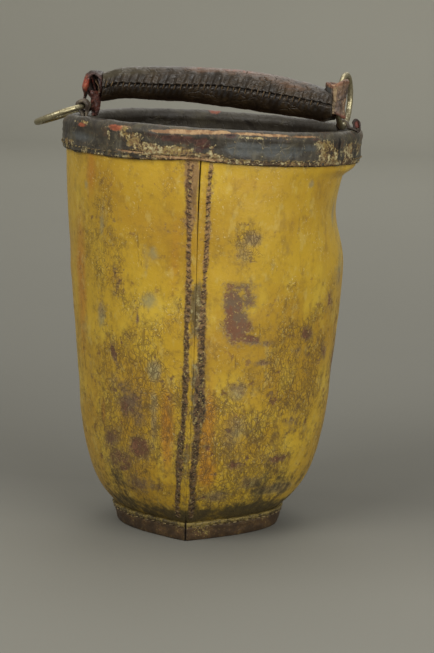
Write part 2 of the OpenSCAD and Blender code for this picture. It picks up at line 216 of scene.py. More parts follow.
def piece(name, sheets, finish, body, slot, *nodes):
    """Puts a mesh in the scene, on its body, in place of the CAD nodes that it stands for."""
    mesh = bpy.data.meshes.new(name)
    sizes = [len(points) for points, *_ in sheets]
    points = np.concatenate([points for points, *_ in sheets])
    faces = np.concatenate([s[1] + at for s, at in zip(sheets, np.cumsum([0, *sizes]))])
    mesh.vertices.add(len(points))
    mesh.vertices.foreach_set("co", (points * MM).astype(np.float32).ravel())
    mesh.loops.add(faces.size)
    mesh.loops.foreach_set("vertex_index", faces.astype(np.int32).ravel())
    mesh.polygons.add(len(faces))
    mesh.polygons.foreach_set("loop_start", np.arange(0, faces.size, 4, dtype=np.int32))
    mesh.update(calc_edges=True)
    mesh.polygons.foreach_set("use_smooth", np.ones(len(faces), bool))
    for key in sorted({key for *_, numbers in sheets for key in numbers}):
        values = [s[2].get(key, np.zeros(size)) for s, size in zip(sheets, sizes)]
        layer = mesh.attributes.new(key, "FLOAT", "POINT")
        layer.data.foreach_set("value", np.concatenate(values).astype(np.float32))
    mesh.materials.append(finish)
    thing = bpy.data.objects.new(name, mesh)
    scene.collection.objects.link(thing)
    if body:
        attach(thing, body)
        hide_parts(*nodes)
    print("%s: %d faces" % (name, len(mesh.polygons)))
    return thing


def cloud(points, size, seed, octaves=3):
    """Smooth noise from -1 to 1 at each point: a few sums of waves in chance directions."""
    rng = np.random.default_rng(seed)
    total, weight = np.zeros(points.shape[:-1]), 0.0
    for octave in range(octaves):
        wave, amount = size / 2 ** octave, 0.55 ** octave
        for _ in range(7):
            way = rng.normal(size=3)
            way /= np.linalg.norm(way)
            total += amount * sin(points @ way * 2 * pi / (wave * rng.uniform(0.7, 1.5)) + rng.uniform(0, 7))
        weight += amount * math.sqrt(3.5)
    return clip(total / weight / 1.6, -1.4, 1.4)


def bump_at(x, centre, width):
    return exp(-((x - centre) / width) ** 2)


def polar(r, degrees, w):
    """Points at the distance r from the upright axis, at the height w."""
    a = radians(degrees)
    return stack(np.broadcast_arrays(r * cos(a), r * sin(a), w), -1)


def tube(centres, radii, turns, flat_way=(0, 0, 1), loop=False):
    """A tube along a line of centres. Its section starts at right angles to flat_way."""
    ahead_ = np.roll(centres, -1, 0) - np.roll(centres, 1, 0) if loop else np.gradient(centres, axis=0)
    ahead_ /= np.linalg.norm(ahead_, axis=1, keepdims=True)
    side = np.cross(flat_way, ahead_)
    side /= np.linalg.norm(side, axis=1, keepdims=True)
    a, r = linspace(0, 2 * pi, turns, endpoint=False), radii[:, None]
    return sheet(centres[:, None] + side[:, None] * (r * cos(a))[..., None]
                 + np.cross(ahead_, side)[:, None] * (r * sin(a))[..., None], ring=True, loop=loop)

# %% [markdown]
# ## The bucket's shape
# The wall is worked out from the same measures as the CAD model: a narrow foot, a bottom that
# swells out, a mouth that has settled to one side, and a buckle under the rim at the right.
# Height z and the turn d from the seam, in degrees, give one point of its outer face.

# %% Measures, in mm and degrees
BODY_H, BODY_R, WALL_T = 300.0, 106.0, 4.2
LEAN_X, LEAN_Y, RIM_TILT, RIM_BACK, FOOT_LEAN = 8.3, 2.2, 2.2, 2.8, 4.3
BOWL_OUT, BOWL_H = 25.7, 23.2
DENT, DENT_DOWN, DENT_UP, DENT_LOW = 11.0, 59.5, 48.0, 24.0
SEAM_FOOT, SEAM_MOUTH, CORNER, FLAT_IN = -83.5, -80.0, 8.8, 3.7
FOOT_R, FOOT_FLARE, FOOT_H, FOOT_BAND_T, BOTTOM_T = 56.0, 4.9, 14.0, 2.8, 3.6
HOOP_R, RIM_T, RIM_H, RIM_IN_H, RIM_JOINT = 3.0, 2.5, 23.5, 25.0, -120.0
LEFT_RING_R, RIGHT_RING_R, WIRE_R, LEFT_TAB_V = 20.9, 18.6, 1.9, 9.2
LEFT_PIN_W, RIGHT_PIN_W, TAB_W, TAB_T = 4.5, 1.6, 5.0, 1.9
FIT = 0.3
ROLL_R = HOOP_R + FIT + RIM_T
CREST_R = BODY_R - WALL_T / 2
RIGHT_U, LEFT_U = CREST_R - 7.6, CREST_R - 7.5
NECK_H = BODY_H - RIM_H - 2
INNER = -WALL_T - FIT
BAND_OUT = FIT + FOOT_BAND_T


# %% The wall as a function
def smooth(t):
    t = clip(t, 0, 1)
    return t * t * (3 - 2 * t)


def turn(a, b):
    return np.abs((a - b + 900) % 360 - 180)


def signed(d):
    return (d + 180) % 360 - 180


def sloped(x, y, w, k):
    """A point turned with the mouth's slope, of which it gets the share k."""
    a, b = radians(-RIM_BACK) * k, radians(RIM_TILT) * k
    z = y * sin(a) + w * cos(a)
    return stack(np.broadcast_arrays(x * cos(b) + z * sin(b), y * cos(a) - w * sin(a), z * cos(b) - x * sin(b)), -1)


def at_rim(points):
    """From the mouth's own frame (u right, v back, w up from the crest) to the bucket's."""
    points = np.asarray(points, float)
    return sloped(points[..., 0], points[..., 1], points[..., 2], 1) + (LEAN_X, LEAN_Y, BODY_H)


def middle(z):
    """The wall's middle line: upright in the foot, then bent over to the mouth's own axis."""
    length = NECK_H - FOOT_H
    t = clip((z - FOOT_H) / length, 0, 1)[..., None]
    start, end = sin(radians(FOOT_LEAN)), cos(radians(FOOT_LEAN))
    bent = (((2 * t - 3) * t * t + 1) * (0, 0, FOOT_H) + ((t - 2) * t + 1) * t * length * np.array([start, 0, end])
            + (3 - 2 * t) * t * t * at_rim([0, 0, NECK_H - BODY_H])
            + (t - 1) * t * t * length * sloped(0.0, 0.0, 1.0, 1))
    low, high = (stack([0 * z, 0 * z, h], -1) for h in (z, z - BODY_H))
    return np.where((z <= FOOT_H)[..., None], low, np.where((z >= NECK_H)[..., None], at_rim(high), bent))


def wall_r(z, d):
    foot, over, off = FOOT_R + FOOT_FLARE, z - BODY_H + DENT_DOWN, turn(d, 0)
    plain = np.where(z <= FOOT_H, FOOT_R + FOOT_FLARE * z / FOOT_H,
                     foot + BOWL_OUT * (1 - exp(np.minimum(0, FOOT_H - z) / BOWL_H))
                     + (BODY_R - foot - BOWL_OUT) * clip((z - FOOT_H) / (NECK_H - FOOT_H), 0, 1))
    fade = 1 - smooth(z / (0.85 * BODY_H))
    r = plain - np.where(off < 90, FLAT_IN * fade * sin(radians(2 * off)) ** 2, 0)
    edge = np.degrees(np.arccos(1 / (1 + CORNER * fade / plain)))
    buckle = (DENT * exp(-(over / np.where(over > 0, DENT_UP, DENT_LOW)) ** 2)
              * bump_at(turn(seam_at(z) + d, 8), 0, 30) * smooth((NECK_H - z) / 9))
    return r / cos(radians(np.maximum(0, edge - off))) - buckle


def seam_bow(z):
    """Degrees by which the worked seam strays to the right of the straight line between its ends."""
    straight, t = (SEAM_MOUTH - SEAM_FOOT) * z / BODY_H, clip(z / (0.7 * BODY_H), 0, 1)
    return 1.3 + 2.9 * (1 - (1 - t) ** 2) - straight


def seam_at(z):
    return SEAM_FOOT + (SEAM_MOUTH - SEAM_FOOT) * z / BODY_H + seam_bow(z)


def wall_pt(z, d, out=0.0):
    z, d = np.broadcast_arrays(np.asarray(z, float), np.asarray(d, float))
    a, r = radians(seam_at(z) + d), wall_r(z, d) + out
    return middle(z) + sloped(r * cos(a), r * sin(a), 0.0, smooth((z - FOOT_H) / (NECK_H - FOOT_H)))


print("mouth %.0f mm over the rim, foot %.0f mm" % (2 * (CREST_R + ROLL_R), 2 * (FOOT_R + BAND_OUT)))

# %% [markdown]
# ### The wall
# The leather is 4 mm thick and butted at the front. Two rows of stitches pull it up into a
# lumpy ridge on each side of the gap. The grid's columns are closest there, because that is
# where the shape changes most. Old wear is stored with each point as soft marks: where paint
# is lost, where it is stained, and where it is crazed. The finish gives them ragged edges.
# A mark is a place round the wall, a height, two half sizes, a strength, and perhaps a slant.

# %% Marks of wear on the wall
WALL_MARKS = {
    "bare": [
        (30.9, 190, 11, 6, 0.8), (26.1, 178, 7, 12, 1.2, 5), (34.1, 181, 7, 10, 0.82),
        (28.5, 164, 8, 13, 1.2, -8), (37.4, 152, 8, 4, 0.95, -25), (46, 149, 6, 3, 0.75, 20),
        (-62, 134.5, 3.5, 9, 0.95, 25), (-44.8, 103, 13, 13.5, 0.95), (-52, 113, 9, 9, 0.8),
        (-36, 92, 9, 8, 0.75), (-35.3, 71.5, 10, 9, 0.95), (-66, 72, 15, 11, 0.74), (-50, 52, 5, 3, 0.85),
        (-34, 42.5, 18, 8, 0.74), (-56, 60, 20, 12, 0.6), (-38.8, 164, 2.2, 7, 0.75),
        (67, 89, 8, 11, 0.64, -20), (58.5, 61.5, 8, 4, 0.68), (31.5, 60, 7, 5, 0.64), (70, 142.5, 7, 6, 0.62),
        (100.6, 136, 6, 9, 0.64), (43.4, 135.5, 8, 3.5, 0.66), (76.8, 153, 10, 7, 0.62),
        (-62.3, 196, 2.2, 7, 0.76, 20), (-58, 186, 2.5, 8, 0.66, -30), (-100, 120, 6, 14, 0.55),
        (101, 176, 5, 10, 0.5), (130, 120, 14, 22, 0.8, 20), (-150, 90, 20, 14, 0.8, -15),
        (180, 200, 12, 26, 0.7, 10), (-190, 190, 9, 30, 0.75, -12), (230, 70, 24, 12, 0.8),
        (-240, 140, 10, 12, 0.7, 40), (270, 160, 8, 20, 0.6)],
    "cool": [
        (-26.8, 209, 6, 8, 0.9), (-29.2, 176, 9, 8, 0.95), (-24, 127, 7, 10, 1.05), (-23.3, 96, 4.5, 42, 0.75),
        (-33, 205, 4, 24, 0.6, 5), (-77.9, 226, 4.5, 13, 0.95), (-79.3, 162, 8, 12, 0.9), (35.8, 224, 7, 8, 1),
        (30.9, 214, 9, 14, 0.75), (105.7, 240, 8, 15, 0.85), (71.7, 263.5, 3.5, 4, 0.9),
        (-102.7, 252, 4, 5, 0.9), (30.1, 115, 8, 9, 0.9), (29, 85, 10, 17, 0.85), (40.5, 44.5, 12, 9, 0.8),
        (58, 217, 12, 9, 0.5), (-60, 118, 16, 20, 0.6), (60, 36, 26, 8, 0.9), (20, 36, 12, 7, 0.8),
        (-60, 60, 30, 18, 0.5), (120, 200, 14, 30, 0.7), (-160, 210, 18, 22, 0.7), (200, 120, 18, 30, 0.7),
        (-220, 60, 26, 16, 0.8)],
    "warm": [
        (-13, 84, 6, 36, 0.95, 2), (13, 84, 6, 44, 0.9, -2), (14, 56, 7, 16, 1), (-12, 210, 6, 40, 0.5),
        (-96, 262, 10, 26, 0.7), (-112, 180, 9, 60, 0.8), (-60, 190, 18, 16, 0.45), (30, 262, 26, 10, 0.4),
        (60, 60, 30, 20, 0.35), (-76, 92, 5, 12, 0.7), (150, 240, 26, 24, 0.6), (-180, 130, 20, 50, 0.6)],
    "crazed": [
        (30, 60, 46, 62, 1), (70, 130, 34, 60, 0.95), (-45, 100, 52, 90, 0.95), (-80, 210, 30, 50, 0.9),
        (-60, 195, 14, 34, 1), (34, 220, 14, 28, 1), (-20, 240, 24, 40, 0.5), (170, 140, 70, 110, 0.8),
        (-190, 140, 80, 110, 0.8)],
    "grime": [
        (-40, 24, 36, 8, 1), (-26, 25, 14, 7, 0.9), (40, 21, 60, 8, 0.95), (60, 36, 40, 16, 0.6),
        (-60, 40, 30, 16, 0.6), (0, 24, 16, 12, 0.8), (160, 24, 90, 12, 0.9), (-160, 24, 90, 12, 0.9)]}
SEAM_DIRT = [
        (4.2, 108, 5.2, 38, 1.15), (0.5, 118, 3, 26, 0.8), (1.5, 174, 7.5, 26, 1.1), (-5.4, 262, 6, 36, 1.2),
        (-4, 172, 2.5, 6, 0.9), (-4.6, 168, 3, 5, 0.9, 30), (9, 262, 5, 16, 0.55), (-2, 70, 3, 20, 0.5)]
SEAM_HOLES = [
        (-4.7, 232, 0.9, 0.8, 1), (-4.3, 192, 1.2, 1, 1), (-4, 183, 1.2, 1, 1), (4.6, 247, 0.8, 0.8, 0.8),
        (-6, 258, 0.8, 0.8, 0.7), (-5, 140, 1, 1.3, 0.9), (4.8, 112, 1, 1, 0.9)]
# Marks are placed with a tape laid round the bucket; this stretches the tape to the wall's own girth.
TAPE_AT = [-130, -97, -30, -10, 15, 32, 49, 74, 108, 150, 220]
TAPE_BY = [1.0, 1.09, 0.96, 0.93, 0.875, 0.855, 0.833, 0.815, 0.82, 0.87, 1.0]
# Rows of stitches: heights, then distance from the gap, half width and darkness at each height.
ROWS = {-1: ([25, 70, 120, 180, 235, 276], [6.0, 6.8, 5.2, 5.6, 6.2, 6.8],
             [2.2, 2.3, 2.1, 2.1, 2.2, 2.4], [1.1, 1.05, 1.0, 0.95, 0.93, 0.98]),
        1: ([25, 60, 90, 130, 170, 200, 235, 276], [3.6, 4.2, 4.8, 5.2, 5.4, 6.0, 6.6, 7.4],
            [2.0, 2.1, 3.2, 3.4, 2.4, 1.9, 1.8, 1.7], [1.1, 1.1, 1.15, 1.05, 0.95, 0.92, 0.88, 0.86])}
GAP_AT, GAP_OPEN = [0, 15, 20, 130, 200, 232, 250, 290], [1, 1, 0.15, 0.3, 0.35, 0.6, 1, 1]


# %% The wall's mesh
def marks(arc, z, spots):
    total = np.zeros_like(arc)
    for at, high, wide, tall, strength, *slant in spots:
        a = radians(*slant or [0])
        x, y, c, s = arc - at, z - high, cos(a), sin(a)
        total = np.maximum(total, strength * exp(-(((x * c + y * s) / wide) ** 2 + ((y * c - x * s) / tall) ** 2)))
    return total


def row_place(z, side, which=1):
    return np.interp(z, ROWS[side][0], ROWS[side][which])


def seam_relief(arc, z):
    """How far the seam's ridges stand out, and how dark the rows are."""
    out, dark = np.zeros_like(arc), np.zeros_like(arc)
    for side in (-1, 1):
        wander = 0.7 * sin(z / 17 + side) + 0.5 * sin(z / 7.3 + 2 * side)
        half = row_place(z, side, 2) * (1 + 0.25 * sin(z / 5.1 + side) * sin(z / 11.3))
        x = side * arc - row_place(z, side) - wander * 0.5
        k = (z + 1.6 * side) / 4.4
        lump = 0.5 + 0.5 * cos(2 * pi * (k + 0.3 * sin(z / 9.1) + 0.2 * sin(z / 3.7) + 0.09 * x))
        size = 0.7 + 0.3 * sin(z / 13.7 + 2.2 * side) * sin(z / 5.9)
        out += size * (0.8 + 0.6 * lump) * exp(-np.abs(x / (half * 0.8)) ** 2.6)
        welt = exp(-np.abs(x / (half * 1.15)) ** 2.6) * (0.82 + 0.18 * lump)
        dark = np.maximum(dark, welt * row_place(z, side, 3))
    return out + 0.4 * exp(-(np.abs(arc) / 3.2) ** 4), dark


def wall_mesh():
    near = np.concatenate([linspace(0.13, 1, 6)[:-1], np.arange(1, 8, 0.24)])
    z, d = linspace(0, 290, 300), np.concatenate([near, linspace(8, 352, 330), 360 - near[::-1]])
    Z, D = np.meshgrid(z, d, indexing="ij")
    gap = np.interp(z, GAP_AT, GAP_OPEN)
    D[:, 0], D[:, -1] = 0.03 + 0.1 * gap, 359.97 - 0.1 * gap
    base, r, gap, over_foot = wall_pt(Z, D), wall_r(Z, D), gap[:, None], smooth((Z - FOOT_H - 1) / 8)
    arc = radians(signed(D)) * r
    tape = arc + radians(seam_bow(Z)) * r
    tape *= np.interp(tape, TAPE_AT, TAPE_BY)
    relief, dark = seam_relief(arc, Z)
    uneven = 0.35 * cloud(base, 5.5, 15, 3) * dark + 0.75 * cloud(base, 95, 5, 2) + 0.16 * cloud(base, 22, 6, 2)
    out = (relief + uneven) * smooth((NECK_H + 1 - Z) / 4) * over_foot - 0.8 * bump_at(np.abs(arc), 0.2, 0.5) * gap
    edge = wall_pt(z[:, None], [[0.16, 359.84]], 0.2 - WALL_T)
    numbers = {key: marks(tape, Z, spots) for key, spots in WALL_MARKS.items()}
    numbers["crazed"] = clip(numbers["crazed"] + 0.25 * smooth((210 - Z) / 120), 0, 1)
    numbers["grime"] = clip(numbers["grime"] + 0.8 * bump_at(Z, FOOT_H + 1, 8), 0, 1)
    numbers.update(up=Z, row=dark * over_foot, zone=marks(arc, Z, SEAM_DIRT),
                   gap=bump_at(np.abs(arc), 0.15, 0.5) * (0.3 + 0.7 * gap) + marks(arc, Z, SEAM_HOLES))
    outer = sheet(np.concatenate([edge[:, :1], wall_pt(Z, D, out), edge[:, 1:]], 1),
                  **{k: np.pad(x, ((0, 0), (1, 1)), mode="edge") for k, x in numbers.items()})
    Z, D = np.meshgrid(linspace(0, 290, 74), linspace(0.16, 359.84, 181), indexing="ij")
    held = smooth((NECK_H - 6 - Z) / 16) * smooth((Z - FOOT_H - 6) / 16)
    inner = wall_pt(Z, D, -WALL_T + 0.5 * held * cloud(wall_pt(Z, D), 70, 9, 2))
    return outer, sheet(inner, flip=True, up=Z, inside=1.0)


# %% [markdown]
# The paint is a layer over brown leather. Its colour drifts between ochre and a brighter
# yellow, it is stained where hands and smoke reached it, and it has crazed into small islands.
# Each mark that the mesh stores is roughened with noise before it is used as a mask, because
# real paint breaks off along a ragged line.

# %% The painted leather
def painted_leather():
    f = Finish("painted_leather")
    mid, fine, tiny, ragged = f.grains(52, 230, 560, rough=0.65, fray=(1.1, 0.8))
    broad, tall, up = f.noise(11), f.place * (1.0, 1.0, 0.55), f.stored("up")
    streak = f.noise(75, f.place * (1.0, 1.0, 0.12), 3)
    low, deep, top = up.clear(50, 215, 1, 0), up.clear(130, 215, 1, 0), up.clear(205, 240)
    craze, inside = f.stored("crazed"), f.stored("inside")
    f.base((0.585, 0.37, 0.026), (0.455, 0.258, 0.018), broad.clear(-0.14, 0.12))
    f.on((0.70, 0.49, 0.05), (f.noise(24, detail=3) + streak * 0.5).clear(0, 0.22, 0, 0.7))
    f.on((0.37, 0.19, 0.016), streak.clear(0.06, 0.25, 0, 0.35))
    f.on((0.5, 0.19, 0.016), f.mask("warm", 0.2, 0.85, 0.35) * 0.7)
    blot = f.noise(105, tall, 6, 0.7) + fine * 0.5
    f.on((0.27, 0.16, 0.026), blot.clear(-0.04, 0.22) * (0.45 + low * 0.4))
    f.on((0.66, 0.53, 0.17), f.noise(150, tall, 5, 0.6).clear(0.06, 0.18) * 0.28)
    stain = f.coat((0.33, 0.3, 0.155), (0.26, 0.185, 0.11), f.noise(36).clear(-0.1, 0.1))
    f.on(stain, f.mask("cool", 0.32, 0.95, 0.8) * 0.72)
    f.on((0.19, 0.125, 0.035), (low * 0.5 + ragged * 0.9).clear(0.35, 0.95) * 0.6)
    f.on((0.74, 0.62, 0.3), f.noise(620, detail=2).clear(0.1, 0.22) * mid.clear(-0.1, 0.1) * 0.6)
    halo = f.mask("bare", 0.15, 0.7, 0.9, 0.5)
    f.on((0.24, 0.155, 0.06), halo * 0.75)
    leather = f.coat((0.2, 0.08, 0.04), (0.165, 0.105, 0.06), (mid + fine * 0.7).clear(-0.1, 0.1))
    spots = (f.noise(120, detail=3) + fine * 0.4).clear(0.14, 0.22) * (craze + 0.25)
    bare = f.mask("bare", 0.4, 0.74, 1.15, 0.8, 0.95).most(spots * 0.7)
    f.on(leather, bare * 0.92)
    f.on((0.6, 0.46, 0.14), (tiny + fine * 0.6).clear(0.1, 0.2) * halo * 0.5)
    large = f.cracks(64, f.shaken(tall, 60, 0.012), 0.016) * (craze + ragged * 1.3).clear(0.55, 0.95) * 0.8
    small = f.cracks(210, f.shaken(tall, 120, 0.006), 0.05) * (craze + ragged * 1.3).clear(0.45, 0.95)
    least = f.cracks(400, f.shaken(tall, 220, 0.004), 0.1) * (0.25 + craze * 0.6 + ragged * 1.2).clear(0.35, 0.95)
    curl = f.noise(120, f.shaken(tall, 90, 0.01), 5, 0.62)
    vein = (curl * curl).clear(0, 0.0009, 1, 0) * (0.25 + craze * 0.5 + ragged).clear(0.35, 0.9)
    scratch = f.noise(300, f.place * (1.0, 1.0, 0.06), 2).clear(0.14, 0.22) * (mid + low * 0.1).clear(-0.02, 0.1)
    line = large.most(small * 0.8).most(vein * 0.8).most(least * 0.6).most(scratch * 0.6)
    f.on((0.1, 0.055, 0.018), line * 0.84)
    grime = (f.stored("grime") * 1.05 + ragged * 1.5 + broad * 0.8).clear(0.35, 1.1)
    f.on((0.058, 0.043, 0.016), grime * 0.9)
    filth = f.coat(f.coat((0.28, 0.16, 0.075), (0.17, 0.09, 0.045), mid.clear(-0.1, 0.1)),
                   f.coat((0.13, 0.1, 0.05), (0.05, 0.034, 0.018), (mid + fine * 0.9).clear(-0.08, 0.1)), top)
    flecks = (f.noise(210) + fine * 0.5).clear(0.06, 0.16) * (1 - top)
    zone = f.mask("zone", 0.36, 0.85, 0.95, 0.5)
    f.on(f.coat((0.42, 0.37, 0.19), filth, flecks * 0.75), zone * 0.85)
    lumps = f.noise(300, rough=0.65)
    # The welt is light tan on its raised lumps and near black between them: painted highlight and painted shade over
    # the welt's brown.
    welt = f.coat(f.coat((0.03, 0.016, 0.008), (0.11, 0.052, 0.022), deep),
                  f.coat((0.16, 0.09, 0.035), (0.36, 0.21, 0.08), deep), (lumps + tiny * 0.6).clear(-0.06, 0.06))
    welt = f.coat((0.5, 0.38, 0.13), welt, (f.noise(340) + tiny * 0.4).clear(0.08, 0.16) * 0.7)
    row = f.mask("row", 0.2, 0.85, 0.9, 0.6, 1.1)
    f.on(welt, row * 0.92)
    f.on((0.012, 0.008, 0.005), f.stored("gap").clear(0.45, 0.9))
    f.on(f.coat((0.17, 0.085, 0.04), (0.09, 0.045, 0.024), mid.clear(-0.15, 0.15)), inside)
    gloss = 0.4 + fine * 0.35 + bare * 0.2 + row * 0.2 + line * 0.25 + grime * 0.15 + inside * 0.3
    return f.done(gloss.least(1), 0.6 - line * 0.5 - bare * 0.3 + fine * 0.45 + mid * 0.5 + row * lumps * 1.8
                  + zone * fine * 0.8 + tiny * 0.12, 0.0008)


piece("wall", wall_mesh(), painted_leather(), "bucket", "painted_leather", "body_panel")

# %% [markdown]
# ### The rim
# A strip of leather is folded over the iron hoop: a round roll on top, a crease under it, and a
# flap on each side. Its section is a line of points that is carried round the mouth. The outer
# flap's lower edge is uneven, lowest at the sides and highest over the seam, and the strip's
# own joint is a small step at the front left. The crest sags at the far left, under the ring.

# %% The rim's mesh
LOW_AT = [-180, -147, -121, -102, -94, -80, -76, -68, -45, -9, 30, 180]
LOW_W = [-25.5, -26.2, -26.2, -25.6, -24.2, -22.6, -23.4, -24.6, -24.6, -24.4, -25.0, -25.5]
RIM_OUT = BODY_R + FIT + RIM_T
CREASE_W = -11.5
RIM_MARKS = {
    "tan": [
        (-94, -4.2, 6, 1.5, 1), (-86, -3.2, 9, 1.7, 1.15), (-78, -2.4, 7, 1.5, 1.1), (-72, -1.8, 4, 1.3, 0.95),
        (-62, -2.2, 8, 1.1, 0.95), (-52, -2.6, 9, 1.3, 0.9), (-40, -3, 9, 1.3, 0.8), (-110, -3, 9, 1, 0.5),
        (-84, -21.5, 22, 1.7, 0.72), (-108, -20, 10, 1.6, 0.7)],
    "plum": [
        (-88, -8.5, 10, 4, 1), (-79, -10.5, 4, 5, 1), (-99, -7, 6, 3.5, 0.6), (-69, -3.6, 2.5, 2.2, 1.1),
        (-80, -15, 3, 4, 0.7), (-34, -5, 4, 2.5, 0.6)],
    "clean": [
        (-63, -13, 11, 6.5, 1), (-49, -13.5, 12, 6.5, 1), (-37, -11, 7, 4, 0.8), (-135, -14, 14, 6, 0.75)],
    "chips": [
        (-106, -10, 7, 5, 0.95), (-103, -15, 10, 4, 0.95), (-90, -16, 11, 3.6, 0.95), (-96, -19, 26, 2.6, 0.9),
        (-75, -13, 2.2, 8, 0.8), (-75, -19, 6, 3.5, 0.95), (-26, -13, 9, 9, 0.95), (-12, -14, 9, 10, 0.9),
        (-2, -12, 9, 7, 0.8), (-30, -7, 7, 3, 0.8), (-60, -22.6, 30, 2.2, 0.9), (-134, -4, 8, 2.4, 0.8),
        (-113, -5, 6, 3, 0.8), (-117, -12, 1.1, 9, 0.9), (-147, -19, 14, 3, 0.8), (-52, -4.6, 22, 1.6, 0.7),
        (60, -20, 30, 4, 0.7), (140, -20, 40, 4, 0.7)],
    "split": [
        (-20.6, -8, 1.2, 5.5, 1), (-117.4, -12, 0.35, 10, 0.7), (-69, -3.8, 2.2, 0.6, 0.9, 25),
        (-92, -20.5, 8, 0.5, 0.8), (-105, -19.5, 5, 0.5, 0.8)],
    "red": [
        (-134, -5.6, 3.6, 2, 1), (-114, -4.6, 3.6, 3, 1.05), (-36, -4.6, 4, 1.6, 0.6)]}
INNER_STAINS = [
        (88, -8, 1.6, 7, 1, -35), (92, -14, 2.5, 5, 0.7, 20), (60, -16, 20, 6, 0.5), (130, -17, 26, 6, 0.5)]


def dip(angle):
    return 3.4 * bump_at(turn(angle, 182), 0, 30)


def rim_mesh():
    a = linspace(-180, 180, 900, endpoint=False)
    low_w = (np.interp(a, LOW_AT, LOW_W) - 0.35 * cloud(polar(90, a, 0), 16, 3, 3)
             + 1.4 * clip(cloud(polar(70, a, 40), 9, 8, 2) - 0.75, 0, 1))
    # The outer flap: radius, distance over its lower edge, share of the way up to the crease.
    flap = [(RIM_OUT - RIM_T + 0.1, 0, 0.7), (RIM_OUT - RIM_T + 0.15, 0, 0.1), (RIM_OUT - 1.9, 0.15, 0),
            (RIM_OUT - 1.2, 0, 0), (RIM_OUT - 0.45, 0.15, 0), (RIM_OUT, 0.9, 0)]
    flap += [(RIM_OUT + 0.1, 0, k / 16) for k in range(1, 17)]
    # The roll and the inner flap: radius and height.
    roll = polar(ROLL_R, linspace(-25, 205, 44), 0)[:, :2] + (CREST_R, -ROLL_R)
    in_r = BODY_R + INNER - RIM_T
    inside = [(in_r, w) for w in linspace(-11, 0.8 - RIM_IN_H, 14)]
    inside += [(in_r + 0.6, -RIM_IN_H), (in_r + RIM_T - 0.3, -RIM_IN_H), (in_r + RIM_T, 3 - RIM_IN_H)]
    fixed = np.concatenate([roll, inside])
    R = np.concatenate([[r for r, *_ in flap], fixed[:, 0]])[:, None] + 0 * a
    W = np.concatenate([[low_w + up + k * (CREASE_W - low_w) for _, up, k in flap], fixed[:, 1:] + 0 * a])
    F, A = (R > CREST_R) * 1.0, np.broadcast_to(a, R.shape)
    outward = stack([-np.gradient(W, axis=0), np.gradient(R, axis=0)], -1)
    outward /= np.linalg.norm(outward, axis=-1, keepdims=True) + 1e-9
    crease = -0.75 * bump_at(W, -10.6, 1.6) * smooth((R - BODY_R) / 2)
    joint = turn(A, RIM_JOINT - 6)
    lap = smooth((joint < 6) - joint / 60) * F
    lumps = 0.42 * cloud(polar(R, A, W), 26, 12, 3) + 0.16 * cloud(polar(R, A, W), 7, 13, 2)
    flare = 0.6 * smooth((-W - 19) / 6) * smooth((R - BODY_R) / 2.2) * (W < -9)
    notch = -1.6 * bump_at(A, -20.6, 1.1) * bump_at(W, -8.0, 3.2) * F
    push = ((crease + lap + lumps * smooth((W + 30) / 3) + flare + notch) * smooth(R - BODY_R + 6) * F
            + lumps * 0.8 * (1 - F) * smooth((W + RIM_IN_H) / 4))
    R, W = R + outward[..., 0] * push, W + outward[..., 1] * push
    numbers = {key: F * marks(A, W, spots) for key, spots in RIM_MARKS.items()}
    numbers["red"] = clip(numbers["red"] + marks(A, W, [(104, -0.5, 3, 2.5, 1)]), 0, 1)
    return [sheet(at_rim(polar(R, A, W - dip(A) * smooth((W + 22) / 14))), ring=True, front=F,
                  edge=F * clip(1 - np.abs(W - low_w - 1) / 5.5, 0, 1),
                  stain=(1 - F) * marks(A, W, INNER_STAINS), **numbers)]


# %% [markdown]
# The collar is slate grey over brown leather. The paint holds best in the middle of the flap and
# is gone on top, where hands, ropes and other buckets rubbed it, and along the lower edge, where
# it flakes to cream, yellow and brown.

